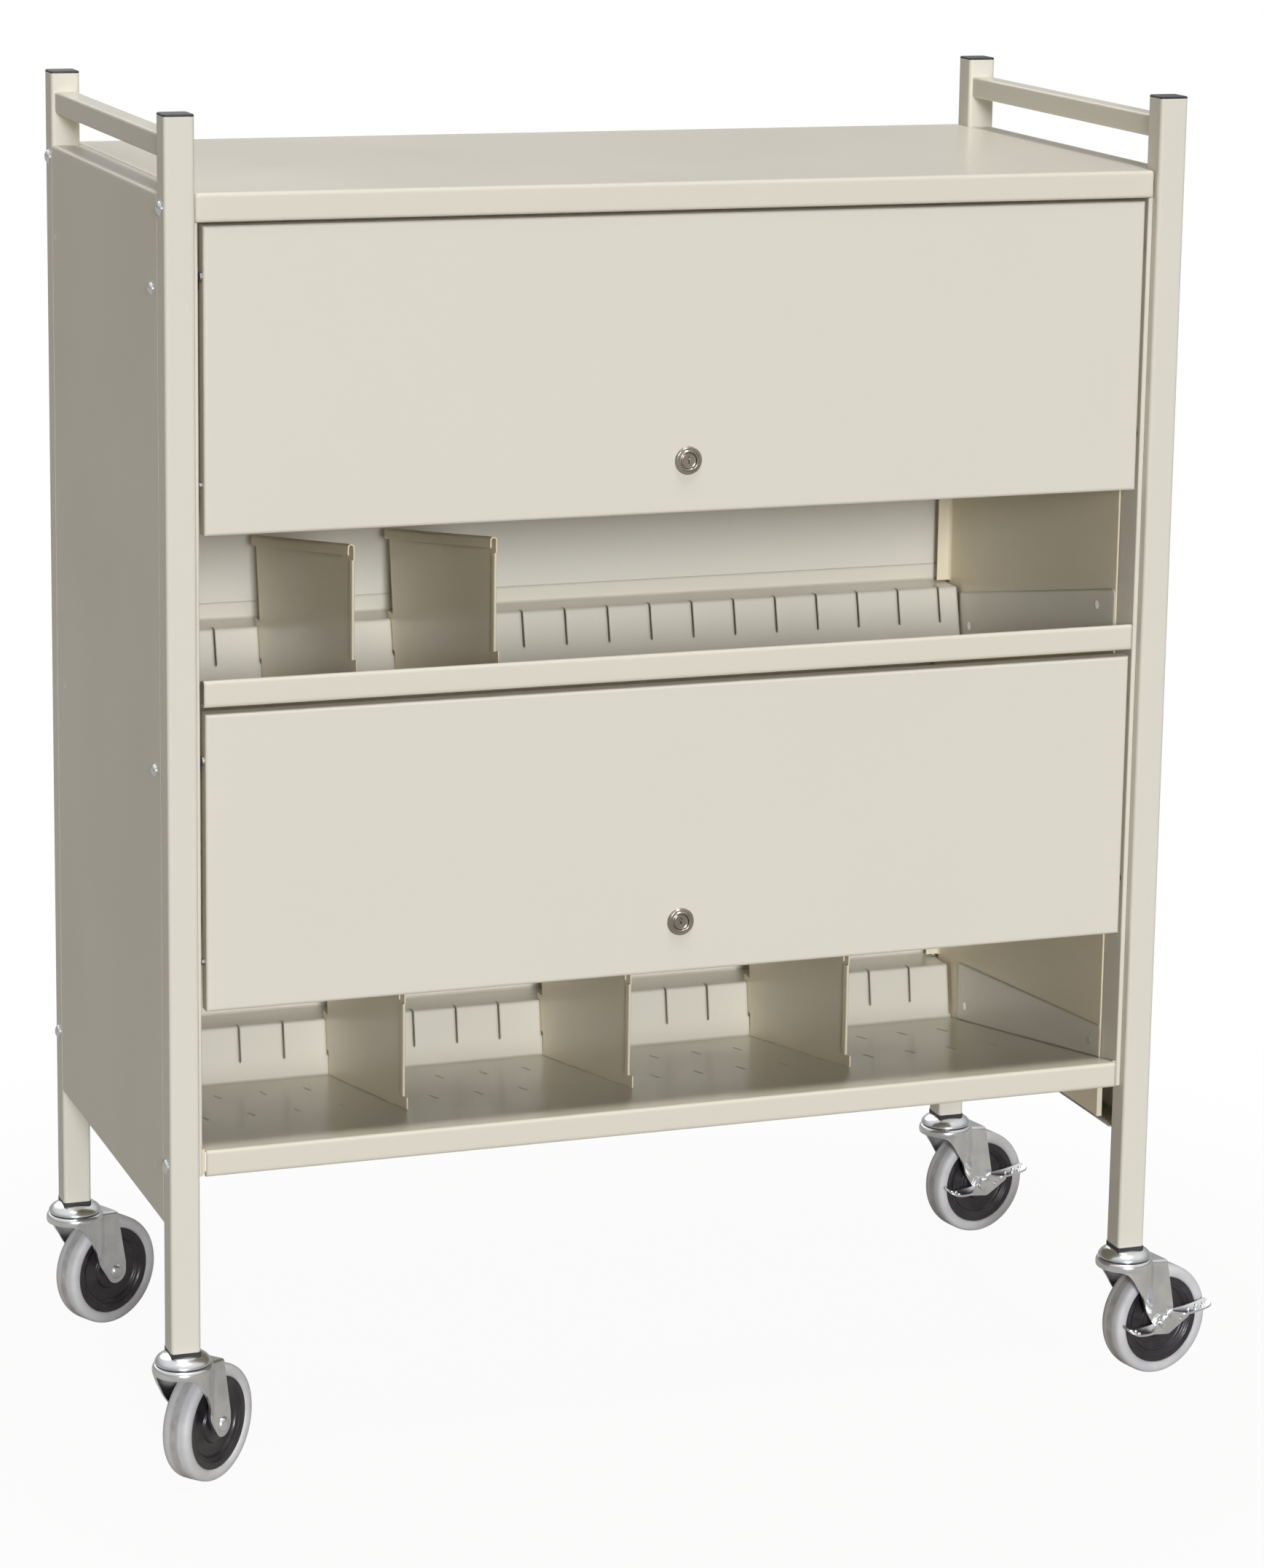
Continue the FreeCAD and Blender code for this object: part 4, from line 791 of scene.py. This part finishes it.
# Foot brakes: a pressed plate on the axle, its upper edge turned out into two spoon-shaped
# ears with raised dots, so that a toe can press it either way.
def pedal_mesh(rivets):
    track = smooth_line([Vector((x / 1000, z / 1000)) for x, z in (
        (-10, 54.6), (-6, 51.4), (0, 49.4), (9, 48.8), (19, 49.6), (28, 52), (37, 57.6), (43, 60.4),
        (50, 60.8), (58, 61), (67, 61.8), (75, 63), (82, 64.6))], 7)
    skin, columns, rows = bmesh.new(), 12, []
    for spot in track:
        x = spot.x
        toe = min(max((x - 0.012) / 0.014, 0), 1)
        heel = min(max((x - 0.039) / 0.012, 0), 1)
        wide = 0.013 - 0.0109 * toe * toe * (3 - 2 * toe) + 0.0109 * heel * heel * (3 - 2 * heel)
        for tip, way in ((-0.0102, 1), (0.0822, -1)):
            gap = max((x - tip) * way, 0)
            if gap < 0.007:
                wide = min(wide, 0.0060 + 0.0070 * math.sqrt(1 - (1 - gap / 0.007) ** 2))
        row = []
        for k in range(columns + 1):
            v = k / columns
            dish = 0.0012 * (2 * v - 1) ** 2 * min(wide / 0.013, 1)
            row.append(skin.verts.new((x, -0.0166 - wide * v, spot.y + dish - 0.16 * wide * v)))
        rows.append(row)
    for row, after in zip(rows, rows[1:]):
        for k in range(columns):
            skin.faces.new((row[k], row[k + 1], after[k + 1], after[k]))
    bmesh.ops.recalc_face_normals(skin, faces=skin.faces)
    skin.faces.ensure_lookup_table()
    if skin.faces[20].normal.z < 0:
        bmesh.ops.reverse_faces(skin, faces=skin.faces)
    held = bpy.data.meshes.new("ears")
    skin.to_mesh(held)
    skin.free()
    form = bpy.data.objects.new("ears", held)
    bpy.context.scene.collection.objects.link(form)
    wall = form.modifiers.new("gauge", "SOLIDIFY")
    wall.thickness, wall.offset = 0.0018, -1
    soft = form.modifiers.new("edge", "BEVEL")
    soft.width, soft.segments, soft.limit_method = 0.0005, 2, "ANGLE"
    soft.angle_limit = math.radians(50)
    bpy.context.view_layer.update()
    whole = bpy.data.meshes.new_from_object(
        form.evaluated_get(bpy.context.evaluated_depsgraph_get()))
    pressed = bmesh.new()
    pressed.from_mesh(whole)
    bpy.data.objects.remove(form)
    plate = bmesh.new()
    corners = [plate.verts.new((x / 1000, -0.0165, z / 1000)) for x, z in (
        (19, 42.2), (21, 41.2), (38, 38.6), (41, 38.8), (62.5, 51), (63.4, 53), (60.5, 57.2),
        (50, 58.6), (45.6, 58.8), (43, 58.8), (29, 58.8), (26.5, 57), (22, 48.2))]
    flat = plate.faces.new(corners)
    lifted = bmesh.ops.extrude_face_region(plate, geom=[flat])["geom"]
    bmesh.ops.translate(plate, vec=(0, -0.002, 0),
                        verts=[v for v in lifted if isinstance(v, bmesh.types.BMVert)])
    bmesh.ops.recalc_face_normals(plate, faces=plate.faces)
    rims = [e for e in plate.edges if abs((e.verts[0].co - e.verts[1].co).y) < 1e-6]
    bmesh.ops.bevel(plate, geom=rims, offset=0.0004, segments=2, profile=0.5, affect="EDGES")
    held = bpy.data.meshes.new("plate")
    plate.to_mesh(held)
    plate.free()
    pressed.from_mesh(held)
    dots = [(-0.0050, -0.0205), (-0.0045, -0.0250), (0.0005, -0.0195), (0.0010, -0.0240),
            (0.0590, -0.0215), (0.0650, -0.0245), (0.0690, -0.0205), (0.0725, -0.0250),
            (0.0765, -0.0215)]
    spots, ways = [], []
    for x, y in dots:
        near = min(track, key=lambda p: abs(p.x - x))
        spots.append((x, y, near.y + 0.16 * (y + 0.0166) - 0.0002))
        ways.append((0, 0, 1))
    for x, z in rivets:
        spots.append((x, -0.0185, z))
        ways.append((0, -1, 0))
    beads = heads("beads", domed, spots, ways,
                  {"Radius": 0.0021, "Height": 0.0014, "Flange": 0.0001}, zinc)
    pressed.from_mesh(beads.data)
    bpy.data.objects.remove(beads)
    made = bpy.data.meshes.new("pedal")
    pressed.to_mesh(made)
    pressed.free()
    return made


pedal_forms = {"front": pedal_mesh([(0.0535, 0.0505)]),
               "rear": pedal_mesh([(0.0495, 0.0490), (0.0570, 0.0535)])}

# Each caster trails its own way. The fork turns on the kingpin, the wheel on the axle bolt,
# which has a round head outside and a nut where a foot brake hangs on it.
swings = {("front", "left"): 40.9, ("front", "right"): 12.4,
          ("rear", "left"): 27.2, ("rear", "right"): 12.1}
for (end, hand), swing in swings.items():
    name = end + "_" + hand
    spot = Matrix.Translation(((1 if hand == "right" else -1) * post_x + mid_x,
                               front_y if end == "front" else rear_y, 0))
    spot = spot @ Matrix.Rotation(math.radians(swing), 4, "Z")
    fork = bmesh.new()
    fork.from_mesh(fork_form)
    fork.transform(spot)
    piece_from(fork, "fork_" + name, zinc, "caster_" + name,
               ["caster_fork_" + name], 40)
    near = 0.0188 if hand == "right" else 0.0162
    bolt = turned_mesh([(0, near + 0.0034), (0.0026, near + 0.0032), (0.0048, near + 0.0025),
                        (0.0064, near + 0.0012), (0.0068, near), (0.0040, near),
                        (0.0040, -0.0162), (0.0068, -0.0162), (0.0064, -0.0174),
                        (0.0048, -0.0187), (0.0026, -0.0194), (0, -0.0196)],
                       (0, -1, 0), axle_place, 40)
    if hand == "right":
        nut = bmesh.new()
        bmesh.ops.create_cone(nut, cap_ends=True, segments=6, radius1=0.0070, radius2=0.0070,
                              depth=0.0032, matrix=Matrix.Translation((0.036, -0.0204, 0.0508))
                              @ Matrix.Rotation(math.pi / 2, 4, "X"))
        bmesh.ops.bevel(nut, geom=nut.edges, offset=0.0005, segments=2, profile=0.5,
                        affect="EDGES")
        held = bpy.data.meshes.new("nut")
        nut.to_mesh(held)
        nut.free()
        bolt.from_mesh(held)
    bolt.transform(spot)
    piece_from(bolt, "axle_" + name, zinc, "caster_" + name,
               ["caster_axle_" + name], 40)
    hub = turned_mesh(hub_side + [(r, -y) for r, y in hub_side[::-1]] + [hub_side[0]],
                      (0, 1, 0), axle_place, 88)
    hub.transform(spot)
    piece_from(hub, "hub_" + name, hub_plastic, "wheel_" + name,
               ["caster_hub_" + name], 40)
    tread = turned_mesh(tread_side + [(r, -y) for r, y in tread_side[-2::-1]] + [tread_side[0]],
                        (0, 1, 0), axle_place, 112)
    bmesh.ops.remove_doubles(tread, verts=tread.verts, dist=1e-6)
    share = tread.verts.layers.float.new("off_centre")
    for corner in tread.verts:
        corner[share] = abs(corner.co.y) / 0.0132
    tread.transform(spot)
    piece_from(tread, "tread_" + name, tread_rubber, "wheel_" + name,
               ["caster_tread_" + name], 60)
    if hand == "right":
        pedal = bmesh.new()
        pedal.from_mesh(pedal_forms[end])
        pedal.transform(spot)
        piece_from(pedal, "pedal_" + name, zinc, "brake_" + name,
                   ["brake_pedal_" + name], 50)
